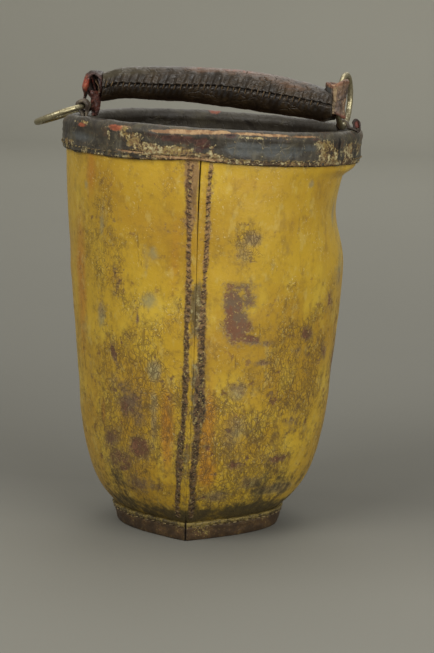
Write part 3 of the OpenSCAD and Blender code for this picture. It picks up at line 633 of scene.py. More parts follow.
# %% The rim's finish
def rim_leather():
    f = Finish("rim_leather")
    mid, fine, tiny, ragged = f.grains(85, 260, 620, rough=0.65, mid_rough=0.6, fray=(1.2, 0.9))
    front, clean, back = f.stored("front"), f.stored("clean"), 1 - f.stored("front")
    f.base((0.066, 0.057, 0.042), (0.034, 0.028, 0.021), (f.noise(30) + ragged * 0.3).clear(-0.15, 0.15))
    f.on((0.088, 0.092, 0.088), f.mask("clean", 0.4, 0.75, 0.4))
    f.on((0.115, 0.098, 0.055), (f.noise(50) + fine * 0.4).clear(0, 0.18) * 0.55)
    f.on((0.105, 0.062, 0.034), (f.noise(72, detail=5) + tiny * 0.4 - clean * 0.12).clear(0.04, 0.18) * front * 0.7)
    streak = f.noise(170, f.place * (1.0, 1.0, 0.15))
    f.on((0.16, 0.145, 0.105), streak.clear(0.06, 0.22) * front * 0.5)
    f.on((0.018, 0.015, 0.012), streak.clear(-0.2, -0.08, 1, 0) * 0.5)
    plum = f.coat((0.1, 0.04, 0.028), (0.05, 0.022, 0.017), fine.clear(-0.08, 0.08))
    f.on(plum, f.mask("plum", 0.4, 0.7, 0.6) * 0.9)
    brown = f.coat((0.24, 0.145, 0.06), (0.075, 0.046, 0.024), (mid + tiny * 0.9).clear(-0.1, 0.1))
    cream = f.coat((0.38, 0.32, 0.17), (0.27, 0.19, 0.06), (f.noise(60, detail=3) + fine * 0.5).clear(-0.08, 0.08))
    under = f.coat(cream, brown, (fine + tiny + mid * 0.8).clear(0, 0.12))
    under = f.coat((0.62, 0.54, 0.3), under, (tiny + fine * 0.8).clear(0.12, 0.2) * 0.8)
    worn = f.stored("chips") * 0.9 + f.stored("edge") * 0.62 + ragged * 1.05 + tiny * 0.6 - clean * 0.16
    flaked = worn.clear(0.48, 0.66) * front
    f.on(under, flaked)
    crackle = f.cracks(130, f.shaken(f.place * (1.0, 1.0, 0.5), 90, 0.006), 0.05)
    crackle = crackle * (mid + fine * 0.8).clear(-0.08, 0.12)
    f.on((0.26, 0.21, 0.12), crackle * front * 0.35)
    tan = f.mask("tan", 0.4, 0.66, 0.45, 0.3)
    f.on(f.coat((0.47, 0.3, 0.15), (0.27, 0.145, 0.065), (fine + mid * 0.9).clear(-0.1, 0.12)), tan * 0.95)
    red = f.coat((0.42, 0.1, 0.04), (0.25, 0.06, 0.03), fine.clear(-0.1, 0.1))
    f.on(red, f.mask("red", 0.42, 0.8, 0.6, 0.4) * 0.85)
    f.on((0.5, 0.4, 0.18), (tiny + mid * 0.4).clear(0.18, 0.24) * front * 0.6)
    f.on((0.012, 0.008, 0.006), f.mask("split", 0.4, 0.7, 0.25))
    f.on((0.085, 0.074, 0.055), f.noise(45).clear(0, 0.25) * back * 0.3)
    f.on((0.028, 0.023, 0.017), back * 0.4)
    f.on((0.02, 0.016, 0.012), f.mask("stain", 0.35, 0.8, 0.5) * 0.85)
    height = 0.5 - flaked * 0.4 - crackle * 0.3 + fine * 0.6 - tan * 0.2 + tiny * 0.2 - f.stored("split") * 0.8
    gloss = 0.45 + fine * 0.35 + flaked * 0.25 + tan * 0.1
    return f.done(gloss.least(1), height, 0.0008, **{"Specular IOR Level": 0.4})


piece("rim", rim_mesh(), rim_leather(), "bucket", "rim_leather", "rim_band")

# %% [markdown]
# ### The foot
# A plain band is wrapped round the foot and butted at the same seam. It follows the wall's own
# corner, so it uses the wall's function with a little clearance, and its upper edge is frayed.

# %% The foot band
def foot_mesh():
    # The section: distance outside the wall, and height.
    section = [(FIT, 0.6), (FIT + 0.5, 0.05), (BAND_OUT - 0.6, 0), (BAND_OUT - 0.1, 0.35)]
    section += [(BAND_OUT, z) for z in linspace(0.9, FOOT_H - 0.9, 22)]
    section += [(BAND_OUT - 0.25, FOOT_H - 0.25), (BAND_OUT - 0.9, FOOT_H), (FIT + 0.3, FOOT_H + 0.1), (-0.6, FOOT_H + 0.2)]
    d = linspace(0.25, 359.75, 700)
    O, Z = np.transpose(section)[..., None] + 0 * d
    D, face = np.broadcast_to(d, O.shape), O > BAND_OUT - 0.2
    at = wall_pt(Z, D, O)
    top = smooth((Z - FOOT_H + 5) / 4)
    O = O + face * (0.3 * cloud(at, 14, 31, 3) + 0.12 * cloud(at, 4, 32, 1)) * smooth(Z / 2)
    Z = Z + top * 0.5 * cloud(at * (1, 1, 0), 11, 33, 3)
    O = O + 0.5 * face * (bump_at(Z, 3, 3) - bump_at(Z, FOOT_H - 3.4, 0.9))
    return [sheet(wall_pt(Z, D, O), top=clip((Z - FOOT_H + 5.5) / 5.5, 0, 1), gap=bump_at(np.abs(signed(D)), 0.2, 0.7))]


def foot_leather():
    f = Finish("foot_leather")
    mid, fine, tiny, ragged = f.grains(90, 260, 720, rough=0.65, fray=(1.1, 0.9))
    f.base((0.105, 0.058, 0.022), (0.052, 0.03, 0.014), mid.clear(-0.12, 0.12))
    f.on((0.17, 0.09, 0.032), (fine + mid * 0.5).clear(0.05, 0.2) * 0.6)
    f.on((0.22, 0.17, 0.05), (tiny + mid * 0.6).clear(0.12, 0.22) * 0.7)
    f.on(f.coat((0.15, 0.11, 0.035), (0.07, 0.05, 0.02), fine.clear(-0.1, 0.1)), f.mask("top", 0.35, 0.7, 0.7))
    yellow = f.stored("top") * 0.3 + tiny * 0.6 + ragged * 0.9 + f.noise(40, detail=3) * 0.8
    yellow = yellow.clear(0.2, 0.36)
    f.on((0.33, 0.24, 0.065), yellow * 0.7)
    f.on((0.02, 0.012, 0.008), f.stored("gap").clear(0.3, 0.9) * 0.9)
    crackle = f.cracks(220, f.shaken(f.place, 120, 0.005), 0.07) * mid.clear(-0.05, 0.1)
    f.on((0.03, 0.018, 0.01), crackle * 0.6)
    return f.done(0.55 + fine * 0.4, 0.5 - crackle * 0.4 + fine * 0.7 + yellow * 0.2, 0.0006)


piece("foot", foot_mesh(), foot_leather(), "bucket", "foot_leather", "foot_band")

# %% [markdown]
# ### Inside: the strip and the bottom
# A strip of thick leather backs the seam, and the bottom is a disc whose edge is turned down
# into the foot. Both stay bare: dark, dry and scuffed.

# %% Strip and bottom
def strip_mesh():
    low, high = FOOT_H + 1, BODY_H - RIM_IN_H - 2
    Z, D = np.meshgrid(linspace(low, high, 160), linspace(-7.5, 7.5, 26), indexing="ij")
    edge = smooth((7.5 - np.abs(D)) / 1.1) * smooth((Z - low) / 2) * smooth((high - Z) / 2)
    dots = (bump_at(D, 4.4, 0.7) + bump_at(D, -4.4, 0.7)) * (0.5 + 0.5 * cos(2 * pi * Z / 5.6)) ** 3
    inward = INNER - edge * (2.5 - 0.7 * dots + 0.25 * cloud(wall_pt(Z, D), 18, 41, 2))
    return [sheet(wall_pt(Z, D, inward), flip=True)]


def bottom_mesh():
    d, t = linspace(0, 360, 240, endpoint=False), linspace(0.02, 1, 34)[:, None]
    edge = wall_pt(FOOT_H - 1.2, d, INNER)
    centre = edge.mean(0)
    grid = centre + (edge - centre) * t[..., None]
    grid[..., 2] = FOOT_H - 0.9 + 0.7 * cloud(grid, 34, 44, 3) + 1.4 * t ** 6
    under = wall_pt(FOOT_H - BOTTOM_T, d, INNER - BOTTOM_T)
    hub = centre + (0, 0, 0.6 - BOTTOM_T) + (under - under.mean(0)) * 0.02
    turned_down = wall_pt(0.4, d, INNER), wall_pt(0.4, d, INNER - BOTTOM_T)
    return [sheet(np.concatenate([grid, [*turned_down, under, hub]]), ring=True)]


def bare_leather():
    f = Finish("raw_leather")
    mid, fine, _ = f.grains(60, 300, rough=0.65)
    grain = f.cracks(840, f.place, 0.12)
    f.base((0.15, 0.078, 0.036), (0.07, 0.036, 0.018), (mid + fine * 0.5).clear(-0.15, 0.18))
    f.on((0.0245, 0.0126, 0.0063), grain * fine.clear(-0.1, 0.1) * 0.5)
    return f.done(0.68 + fine * 0.3, 0.5 + fine * 0.6 - grain * 0.2)


raw_leather = bare_leather()
piece("strip", strip_mesh(), raw_leather, "bucket", "raw_leather", "seam_strip")
piece("bottom", bottom_mesh(), raw_leather, "bucket", "raw_leather", "bottom_disc")

# %% [markdown]
# ### The bail
# The handle is a roll of leather round a stuffed core. Its edge is turned over and sewn along
# the front, so a welt runs from end to end: above it the leather is drawn into soft puckers, and
# below it each stitch has pressed a slanting rib. All of it is relief on one tube, worked out
# from the length u along the bail and the turn a round it.

# %% The bail's mesh
BAIL_A, BAIL_B = -LEFT_U + 8.6, RIGHT_U - 5.8
EYE_U, EYE_W, EYE_TALL, EYE_LOW = -LEFT_U + 6, 17.5, 12.0, -94.5
SPOOL_U, SPOOL_V, SPOOL_R, SPOOL_W = RIGHT_U - 2.8, 17.2, 7.2, RIGHT_PIN_W + RIGHT_RING_R
END_SAG = (0, 0, 2.3)
CAP_ROWS = 9


def bail_mid(u):
    return stack([u, -8 - 0.09 * u, 24.2 - 0.00073 * (u + 9) ** 2], -1)


def bail_share(u):
    return (u - BAIL_A) / (BAIL_B - BAIL_A)


def bail_rad(u):
    t = bail_share(u)
    return 11.6 + 2.4 * smooth(t / 0.7) - 1.9 * smooth((t - 0.75) / 0.25)


def seam_turn(u):
    return 5 + 4 * sin(u / 31) + 2 * sin(u / 13 + 1)


def round_bail(u, mid, r, degrees):
    a = radians(degrees)
    return stack([u, mid[..., 1] - r * cos(a), mid[..., 2] + r * sin(a)], -1)


def spool_side(v, w):
    """Where along the bail its right end meets the spool."""
    return SPOOL_U - np.sqrt(clip((SPOOL_R + 0.5) ** 2 - (v + SPOOL_V) ** 2, 0, None)) - 0.2


def loop_side(v, w):
    return EYE_U + 7.6 * np.sqrt(clip(1 - ((w - EYE_W) / (EYE_TALL + 1.5)) ** 2, 0, None)) + 0.3


def bail_mesh():
    U, A = np.meshgrid(linspace(BAIL_A, BAIL_B, 420), linspace(-180, 180, 176, endpoint=False), indexing="ij")
    gathered = smooth((BAIL_A + 20 - U) / 20)
    mid, r = bail_mid(U) - gathered[..., None] * END_SAG, bail_rad(U) - gathered
    base, off = round_bail(U, mid, r, A), signed(A - seam_turn(U))
    lip = np.where(off >= 0, 1.5 * bump_at(off, 0, 13),
                   1.5 * smooth(1 + off / 2.2) - 0.9 * bump_at(off, -5, 4) * smooth(-off / 2))
    beat = 2 * pi * U / 4.5 + 0.8 * sin(U / 11)
    pucker = 0.75 * cos(beat * 0.75 - off * 0.03 + 0.9 * sin(U / 7)) * bump_at(off, 12, 15) * smooth(off / 2)
    folds = 0.4 * cos(2 * pi * U / 13 + off * 0.035 + 1.5 * sin(U / 19)) * bump_at(off, 28, 26)
    under = smooth((-off - 3) / 4) * smooth((off + 46) / 26) * (0.75 + 0.25 * sin(U / 8.3))
    rib = (0.5 + 0.5 * cos(beat - off * 0.1 + 0.5 * sin(U / 5.7))) ** 0.8
    r = (r + lip + pucker + folds + (0.85 * rib - 0.4) * under
         + 0.42 * cloud(base, 30, 51, 3) + 0.1 * cloud(base, 5, 52, 2))
    skin, t = round_bail(U, mid, r, A), bail_share(U)
    V, W = skin[..., 1], skin[..., 2]
    U = (U + smooth((t - 0.9) / 0.1) * (np.minimum(spool_side(V, W), BAIL_B + 2) - BAIL_B)
         + smooth((0.1 - t) / 0.1) * (loop_side(V, W) - BAIL_A))
    skin[..., 0] = U
    caps, shrink = [], linspace(0.93, 0.04, CAP_ROWS)[:, None]
    for row, c, side in ((skin[0], bail_mid(BAIL_A) - END_SAG, loop_side), (skin[-1], bail_mid(BAIL_B), spool_side)):
        v, w = (c[k] + (row[:, k] - c[k]) * shrink for k in (1, 2))
        caps.append(stack([side(v, w), v, w], -1))
    worn = (bump_at(off, 72, 34) * (0.4 + 0.6 * bump_at(U, 18, 34)) + 0.7 * bump_at(U, -4, 9) * bump_at(off, 66, 22)
            + 0.55 * bump_at(U, 62, 16) * bump_at(off, 30, 22))
    # low and deep mark the grooves under the seam and along it, where the finish paints shade.
    numbers = {"along": U, "off": off, "low": under * (1 - rib), "deep": bump_at(off, -1.5, 2.2), "worn": clip(worn, 0, 1)}
    numbers = {k: np.pad(x, ((CAP_ROWS, CAP_ROWS), (0, 0))) for k, x in numbers.items()}
    cap = np.pad(0 * U, ((CAP_ROWS, CAP_ROWS), (0, 0)), constant_values=1)
    return [sheet(at_rim(np.concatenate([caps[0][::-1], skin, caps[1]])), ring=True, cap=cap, **numbers)]


# %% [markdown]
# Old handled leather is almost black, and red-brown where it is rubbed, with a
# greasy shine. Painted shade makes its grooves blacker still; the grooves are known from the mesh, so the shade and the
# wear follow the form.

# %% The bail's finish
def handle_leather():
    f = Finish("handle_leather")
    mid, fine, ragged = f.grains(70, 330)
    f.base((0.044, 0.028, 0.013), (0.018, 0.012, 0.007), (mid + fine * 0.5).clear(-0.15, 0.15))
    olive = f.stored("along").clear(-85, -10, 1, 0) * f.stored("off").clear(5, 40)
    f.on((0.06, 0.048, 0.023), (olive + ragged * 0.4).clear(0.2, 0.9) * 0.75)
    f.on((0.14, 0.07, 0.036), f.mask("worn", 0.35, 0.85, 0.8) * 0.65)
    f.on((0.24, 0.06, 0.025), f.mask("worn", 0.85, 1, 1.2, share=0.8) * 0.7)
    grey = f.noise(28, detail=3).clear(0, 0.2)
    f.on((0.078, 0.054, 0.027), grey * 0.5)
    # Painted shade: the grooves between the ribs and along the seam go nearly black, and rougher.
    shaded_grooves = f.stored("low").most(f.stored("deep"))
    f.on((0.008, 0.006, 0.005), shaded_grooves * 0.8)
    crease = f.cracks(210, f.shaken(f.place * (0.5, 1.0, 1.0), 90, 0.006), 0.09) * mid.clear(-0.1, 0.1)
    f.on((0.012, 0.008, 0.006), crease * 0.45)
    gloss = 0.33 + fine * 0.4 + shaded_grooves * 0.4 + grey * 0.1 + f.stored("cap") * 0.3
    height = 0.5 + fine * 0.7 - crease * 0.4 + mid * 0.6
    return f.done(gloss.least(1), height, 0.0008, **{"Specular IOR Level": 0.5})


bail = piece("bail", bail_mesh(), handle_leather(), "handle", "handle_leather", "handle_cover", "handle_core")

# %% [markdown]
# ### The two eyes
# At the left the handle ends in an open loop of strap, wide at the bail and pinched to a narrow
# neck round the ring. At the right the leather is wound into a short spool on the upright ring.
# The strap is swept along an oval with a section that is wide and thin, and its edges roll out.

# %% The left eye
def swept_strap(path, half, thick, flare, rough, seed, v_mid=0, loop=True, **numbers):
    """A strap along a path in the u-w plane. half is its half width along v, thick its thickness."""
    half, thick, flare, v_mid = (np.broadcast_to(x, len(path))[:, None] for x in (half, thick, flare, v_mid))
    way = np.roll(path, -1, 0) - np.roll(path, 1, 0) if loop else np.gradient(path, axis=0)
    way /= np.linalg.norm(way, axis=1, keepdims=True)
    out = stack([way[:, 1], 0 * way[:, 0], -way[:, 0]], -1)[:, None]
    q = linspace(0, 2 * pi, 44, endpoint=False)
    side = np.sign(cos(q)) * np.abs(cos(q)) ** 0.55
    skin = np.sign(sin(q)) * np.abs(sin(q)) ** 0.7
    lip = np.abs(side) ** 5
    n = skin * thick / 2 + flare * lip
    grid = stack([path[:, :1] + 0 * n, side * half + v_mid, path[:, 1:] + 0 * n], -1) + n[..., None] * out
    grid = grid + rough * cloud(grid, 7, seed, 3)[..., None] * out
    return sheet(at_rim(grid), ring=True, loop=loop, inner=(skin < 0.2) * 1.0, lip=lip, **numbers)


def left_eye_mesh():
    a = radians(linspace(270, -90, 168, endpoint=False))
    oval = stack([EYE_U + 6.7 * cos(a), EYE_W + 10.4 * sin(a)], -1)
    low = stack([EYE_LOW - 2.7 + 4.8 * cos(a), 3.5 + 4.8 * sin(a)], -1)
    k = smooth((0.05 - sin(a)) / 0.95)[:, None]
    path = oval * (1 - k) + low * k
    high = smooth((path[:, 1] - 9) / 9)
    left = smooth((EYE_U + 1 - path[:, 0]) / 6) * high
    lit = left * smooth((EYE_W + 9.5 - path[:, 1]) / 7)
    strap = swept_strap(path, 2.2 + 6.5 * high, 1.6 + 0.8 * high + 2.4 * left, 0.6 * high + left,
                        (0.2 + 0.6 * high)[:, None, None], 61, -0.8 * left, near=lit[:, None])
    w, q = linspace(-4.5, 14.5, 36)[:, None], linspace(0, 2 * pi, 48, endpoint=False)
    track = lambda *values: np.interp(w, [-4.5, -3.6, -1, 4, 9, 14.5], values)
    stem = stack([track(-90.2, -90.1, -89.9, -89.4, -89.5, -90.3) + track(0.3, 2.2, 2.9, 3.3, 4.2, 5.2) * cos(q),
                  -1.6 + track(0.2, 1.5, 2.1, 2.8, 3.4, 4.6) * sin(q) * (1 - 0.12 * cos(3 * q)), w + 0 * q], -1)
    folds = 0.35 * cos(5 * q + 0.35 * w) + 0.6 * cloud(stem, 5, 64, 3)
    stem += folds[..., None] * stack([cos(q), sin(q), 0 * q], -1)
    K, T = np.meshgrid(linspace(1.04, 0.02, 44)[2:], linspace(0, 2 * pi, 96, endpoint=False), indexing="ij")
    x, z = K * cos(T), K * sin(T)

    def ridge(x0, z0, x1, z1, width):
        """1 along a line across the opening, falling off to both sides."""
        dx, dz = x1 - x0, z1 - z0
        along = clip(((x - x0) * dx + (z - z0) * dz) / (dx * dx + dz * dz), 0, 1)
        return bump_at(np.hypot(x - x0 - along * dx, z - z0 - along * dz), 0, width)

    fold, patch = ridge(0.05, 0.42, 0.62, -0.5, 0.15), ridge(0.52, 0.5, 0.66, 0.12, 0.2)
    flap = ridge(-0.45, 0.8, -0.1, -0.25, 0.16)
    pit = stack([EYE_U - 0.2 + 6.3 * x + 0.8 * (1 - K),
                 -5.6 + 8.5 * (1 - K) ** 0.7 - 4.2 * fold - 3.6 * patch - 4.5 * flap,
                 EYE_W + 0.6 + 9.6 * z - 0.8 * (1 - K)], -1)
    pit += (0.5 * cloud(pit, 5, 63, 3) * smooth((1.02 - K) / 0.15))[..., None]
    # Painted shade deep in the opening: darker the further in, except on the fold, the patch and the flap.
    hollow = smooth((1 - K) / 0.35) * clip(1 - fold - patch - flap, 0, 1)
    # light marks the patch where the finish paints a highlight.
    return [strap, sheet(at_rim(stem), ring=True, inner=1, lip=0.2, near=0.3),
            sheet(at_rim(pit), ring=True, flip=True, inner=1, near=0.25 + 0.5 * flap,
                  hollow=hollow, light=patch, fold=fold)]


def eye_leather():
    f = Finish("eye_leather")
    mid, fine, ragged = f.grains(95, 360)
    near, hollow = f.stored("near"), f.stored("hollow")
    f.base((0.052, 0.03, 0.024), (0.022, 0.014, 0.012), mid.clear(-0.15, 0.15))
    red = f.coat((0.38, 0.065, 0.032), (0.15, 0.038, 0.022), (mid + fine * 0.6).clear(-0.1, 0.1))
    rubbed = (f.stored("lip") * 0.5 + f.stored("inner") * 0.35 + near * 0.6 + ragged * 0.7).clear(0.45, 0.95)
    rubbed = rubbed * (0.12 + near * 0.95).least(1)
    f.on(red, rubbed * 0.95)
    f.on((0.45, 0.22, 0.12), (fine + mid * 0.6).clear(0.12, 0.22) * rubbed * 0.7)
    # Painted shade deep in the opening.
    f.on((0.04, 0.022, 0.016), hollow * 0.75)
    # Painted highlight: a purple-grey patch on the folded leather in the opening.
    f.on((0.2, 0.15, 0.15), (f.stored("light") + fine * 0.6).clear(0.4, 0.85) * 0.8)
    f.on((0.3, 0.19, 0.1), (f.stored("fold") + fine * 0.6).clear(0.5, 0.9) * 0.7)
    crease = f.cracks(230, f.shaken(f.place, 90, 0.006), 0.08)
    f.on((0.015, 0.008, 0.006), crease * 0.5)
    return f.done(0.42 + fine * 0.3 + hollow * 0.3, 0.5 + fine * 0.5 - crease * 0.35, 0.0006)


piece("left_eye_strap", left_eye_mesh(), eye_leather(), "handle", "eye_leather", "left_eye")

# %% The right eye
SPOOL_RADII = [5.1, 5.9, 7, 7.8, 8.2, 8, 7.6, 7.3, 7.2, 7.2, 7.3, 7.6, 8, 8.3, 7.9, 7, 5.9, 5.1]
SPOOL_HEIGHTS = [-11, -11.9, -12.2, -11.8, -10.9, -9.6, -7.4, -4.6, -1.5, 1.5, 4.6, 7.4, 9.6, 10.9, 11.8, 12.2, 11.9, 11]


def right_eye_mesh():
    d, t = linspace(-180, 180, 132, endpoint=False), linspace(0, 1, 100)
    r, h = (np.interp(t, linspace(0, 1, 18), line)[:, None] for line in (SPOOL_RADII, SPOOL_HEIGHTS))
    low, high = smooth((-h - 2) / 9), smooth((h - 2) / 9)
    front, A, lean = turn(d, -75), radians(d) + 0 * r, radians(6)
    H = (h + low * 2.9 * bump_at(front, 0, 42) - high * 0.9 * bump_at(front, 0, 50)
         + high * 4.2 * smooth((cos(A) + 0.3) / 1.2))
    lap = smooth((A + radians(118)) / 0.16) * smooth((-radians(40) - A) / 0.16)
    R = (r * (1 + 0.05 * cos(2 * A + 0.5)) + 0.55 * lap * (r > 6.4)
         + 2.2 * smooth((-cos(A) - 0.2) / 0.8) * smooth((2 - h) / 10) * (r > 5.6))
    grid = polar(R, d, H)
    grid = grid * (1 + 0.5 * cloud(grid, 9, 71, 3)[..., None] / 8 * (1, 1, 0))
    u, w = grid[..., 0], grid[..., 2]
    grid = stack([u * cos(lean) + w * sin(lean) * 0.4, grid[..., 1], w + 0.8 - u * sin(lean)], -1)
    # streak is where the finish paints a highlight down the front, and edge where it paints a line of shade by the
    # bail's end.
    return [sheet(at_rim(grid + (SPOOL_U, -SPOOL_V, SPOOL_W)), ring=True,
                  lip=clip(1 - (12.4 - np.abs(h)) / 4.2, 0, 1), below=low,
                  slate=bump_at(d, -132, 34), streak=bump_at(d, -84, 11), edge=bump_at(d, -152, 5))]


def spool_leather():
    f = Finish("spool_leather")
    mid, fine, _ = f.grains(110, 380)
    f.base((0.23, 0.14, 0.08), (0.09, 0.06, 0.045), mid.clear(-0.14, 0.12))
    f.on((0.06, 0.058, 0.054), f.mask("slate", 0.3, 0.7, 0.5))
    # Painted highlight: a tan stripe down the spool's front.
    f.on((0.36, 0.26, 0.14), f.mask("streak", 0.35, 0.9, 0.7) * 0.75)
    # Painted shade: a dark line at the spool's left front, by the bail's end.
    f.on((0.05, 0.025, 0.015), f.mask("edge", 0.5, 0.8, 0.4))
    worn = f.coat((0.2, 0.05, 0.03), (0.26, 0.105, 0.05), f.stored("below"))
    f.on(worn, f.mask("lip", 0.15, 0.6, 0.5) * (0.45 + mid).clear(0.2, 0.7))
    f.on((0.55, 0.42, 0.25), (fine + mid * 0.5).clear(0.12, 0.2) * 0.6)
    crease = f.cracks(200, f.shaken(f.place * (1.0, 1.0, 0.5), 90, 0.005), 0.07)
    f.on((0.02, 0.013, 0.01), crease * 0.5)
    return f.done(0.5 + fine * 0.3, 0.5 + fine * 0.5 - crease * 0.35, 0.0006)


piece("right_eye_spool", right_eye_mesh(), spool_leather(), "handle", "tab_leather", "right_eye")

# %% [markdown]
# ### Tabs and rings
# Each ring is held by a tab: a small strap looped over the wire, with its tail inside the rim.
# The right tab also goes on over the crest and its end has curled up outside. The rings are
# bent from wire and closed, so they are a little uneven and tarnished.

# %% The tabs
def strap_line(points, count):
    """Evenly spaced points along a smooth line through a few given ones."""
    p, kernel = np.array(points, float), np.hanning(23)
    t = np.cumsum([0, *np.linalg.norm(np.diff(p, axis=0), axis=1)])
    line = [np.pad(np.interp(linspace(0, t[-1], 400), t, x), 11, mode="edge") for x in p.T]
    line = stack([np.convolve(x, kernel / kernel.sum(), "valid") for x in line], -1)
    return line[linspace(0, 399, count).astype(int)]


def tail_u(v):
    return math.sqrt((CREST_R - ROLL_R - FIT) ** 2 - (v + TAB_W / 2) ** 2) - TAB_T / 2


def round_wire(u, w, r, turns):
    return [(u + r * cos(radians(a)), w + r * sin(radians(a))) for a in turns]


def left_tab_mesh():
    tail = -tail_u(LEFT_TAB_V)
    path = strap_line([(tail, -22), (tail, -10), (tail + 0.1, -4),
                       *round_wire(-LEFT_U - 0.6, LEFT_PIN_W - 1.6, 2.8 + TAB_T / 2, range(208, -40, -12)),
                       (tail + 2.6, -1), (tail + 2.1, -5), (tail + 2, -12)], 84)
    over = smooth((path[:, 1] + 1) / 6)
    return [swept_strap(path, TAB_W / 2 + 1.9 * over, TAB_T + 1.3 * over, 0.3 * over, 0.6, 81, -LEFT_TAB_V, False)]


def right_tab_mesh():
    tail = tail_u(0) - 2.1
    path = strap_line([(tail, -22), (tail, -9), (tail - 0.3, -3),
                       *round_wire(RIGHT_U + 0.3, RIGHT_PIN_W + 0.5, 3 + TAB_T / 2, range(186, 40, -12)),
                       *round_wire(CREST_R, -ROLL_R, ROLL_R + TAB_T / 2 + 0.1, (112, 100, 88, 76, 66, 58)),
                       (CREST_R + 4.4, 0.9), (CREST_R + 4.6, 2.2)], 96)
    strap = swept_strap(path, 1.7 + 3.4 * smooth((path[:, 0] - CREST_R + 5) / 5), TAB_T, 0.2, 0.35, 82, loop=False)
    B, A = np.meshgrid(linspace(0, pi, 30), linspace(0, 2 * pi, 48, endpoint=False), indexing="ij")
    x, z, depth = sin(B) * cos(A), sin(B) * sin(A), cos(B)
    cup = exp(-np.hypot((x - 0.12) / 0.6, z / 0.75) ** 4)
    curl = stack([2.9 * x * (1 + 0.12 * z) - 1.1 * z, -2.4 * depth + 2.4 * cup * (depth > 0) + 0.8 * x,
                  5.1 * z + 0.3 * x], -1)
    curl += 0.3 * cloud(curl, 5, 84, 3)[..., None]
    return [strap, sheet(at_rim(curl + (CREST_R + 3, -1, 3.2)), ring=True, flip=True,
                         inner=1, tip=cup * (depth > -0.2), dark=1)]


def tab_leather():
    f = Finish("tab_leather")
    mid, fine, _ = f.grains(120, 400)
    f.base((0.125, 0.1, 0.07), (0.05, 0.036, 0.027), mid.clear(-0.14, 0.12))
    f.on((0.3, 0.24, 0.14), f.mask("lip", 0.45, 0.75, 1, share=0.5) * 0.6)
    f.on((0.035, 0.018, 0.013), f.stored("dark") * 0.9)
    f.on((0.2, 0.042, 0.025), f.mask("tip", 0.45, 1, 0.7) * 0.85)
    return f.done(0.55 + fine * 0.3, 0.5 + fine * 0.6)


tab_finish = tab_leather()
piece("left_tab_strap", left_tab_mesh(), tab_finish, "bucket", "tab_leather", "left_tab")
piece("right_tab_strap", right_tab_mesh(), tab_finish, "bucket", "tab_leather", "right_tab")


# %% The rings
def ring_mesh(size, placed, seed):
    T, Q = np.meshgrid(*(linspace(0, 2 * pi, n, endpoint=False) for n in (240, 28)), indexing="ij")
    base = stack([size * cos(T), size * sin(T), 3 * sin(Q)], -1)
    wire = WIRE_R + 0.14 + 0.1 * cloud(base, 13, seed, 2) + 0.05 * cloud(base, 4, seed + 1, 1)
    r = size + 0.2 * cos(2 * T + seed) + wire * cos(Q)
    return [sheet(at_rim(placed(r * cos(T), r * sin(T), wire * 1.04 * sin(Q))), ring=True, loop=True)]


# The left ring hangs in its tab and rests on the crest, which gives its slope; then it has sagged a bit.
LEFT_ARM = math.sqrt(LEFT_RING_R ** 2 - LEFT_TAB_V ** 2)
left_mid = LEFT_U + LEFT_ARM
reach = (CREST_R ** 2 + left_mid ** 2 - LEFT_RING_R ** 2) / (2 * left_mid) - LEFT_U
rise = LEFT_PIN_W + ROLL_R
SLOPE = math.acos((ROLL_R + WIRE_R + FIT) / math.hypot(rise, reach)) - math.atan2(reach, rise) + radians(5)
print("the left ring slopes down %.1f degrees" % math.degrees(SLOPE))


def lying(x, y, z):
    x, c, s = x - LEFT_ARM, cos(SLOPE), sin(SLOPE)
    return stack([x * c - z * s - LEFT_U - 0.9, y, x * s + z * c + LEFT_PIN_W - 1.7], -1)


def upright(x, y, z):
    return stack([z + RIGHT_U + 0.1 + 0.015 * y, y, -x + RIGHT_PIN_W + RIGHT_RING_R], -1)


def ring_metal():
    f = Finish("ring_metal")
    mid, fine = f.noise(130, detail=5), f.noise(520, rough=0.6)
    tarnish = (mid + fine * 0.8).clear(-0.08, 0.12)
    f.base((0.62, 0.57, 0.38), (0.42, 0.37, 0.22), mid.clear(-0.1, 0.1))
    f.on(f.coat((0.22, 0.185, 0.11), (0.12, 0.1, 0.058), fine.clear(-0.1, 0.1)), tarnish * 0.85)
    return f.done(0.34 + tarnish * 0.3 + fine * 0.2, 0.5 + fine * 0.6, 0.0004, Metallic=0.9)


brass = ring_metal()
piece("left_ring_wire", ring_mesh(LEFT_RING_R, lying, 91), brass, "left_ring", "ring_metal", "left_ring")
piece("right_ring_wire", ring_mesh(RIGHT_RING_R, upright, 95), brass, "right_ring", "ring_metal", "right_ring")

# %% [markdown]
# ### Threads
# A stitch is one short arch of thread. `thread_row` takes the two ends of each stitch and the
# way that it bulges, and makes all the stitches of a row, each a bit different.

# %% Stitches
def thread_row(starts, ends, outward, radius, arch, seed):
    rng, t, tubes = np.random.default_rng(seed), linspace(0, 1, 7)[:, None], []
    for start, end, out in zip(starts, ends, outward):
        out = out / np.linalg.norm(out)
        shift = rng.normal(scale=0.16, size=(2, 3))
        line = ((start + shift[0]) * (1 - t) + (end + shift[1]) * t
                + out * (sin(pi * t) * arch - 0.35) * rng.uniform(0.75, 1.15))
        tubes.append(tube(line, radius * rng.uniform(0.85, 1.1) * (0.75 + 0.25 * sin(pi * t[:, 0])), 8, out))
    return tubes


def thread(name, light, dark):
    f = Finish(name)
    strands, mid = f.noise(1400, detail=2), f.noise(160, detail=3)
    f.base(light, dark, (mid + strands * 0.6).clear(-0.14, 0.14))
    return f.done(0.6 + strands * 0.3, strands, 0.0003)


dark_thread = thread("dark_thread", (0.17, 0.11, 0.05), (0.045, 0.026, 0.014))
waxed_thread = thread("waxed_thread", (0.26, 0.19, 0.08), (0.09, 0.06, 0.028))


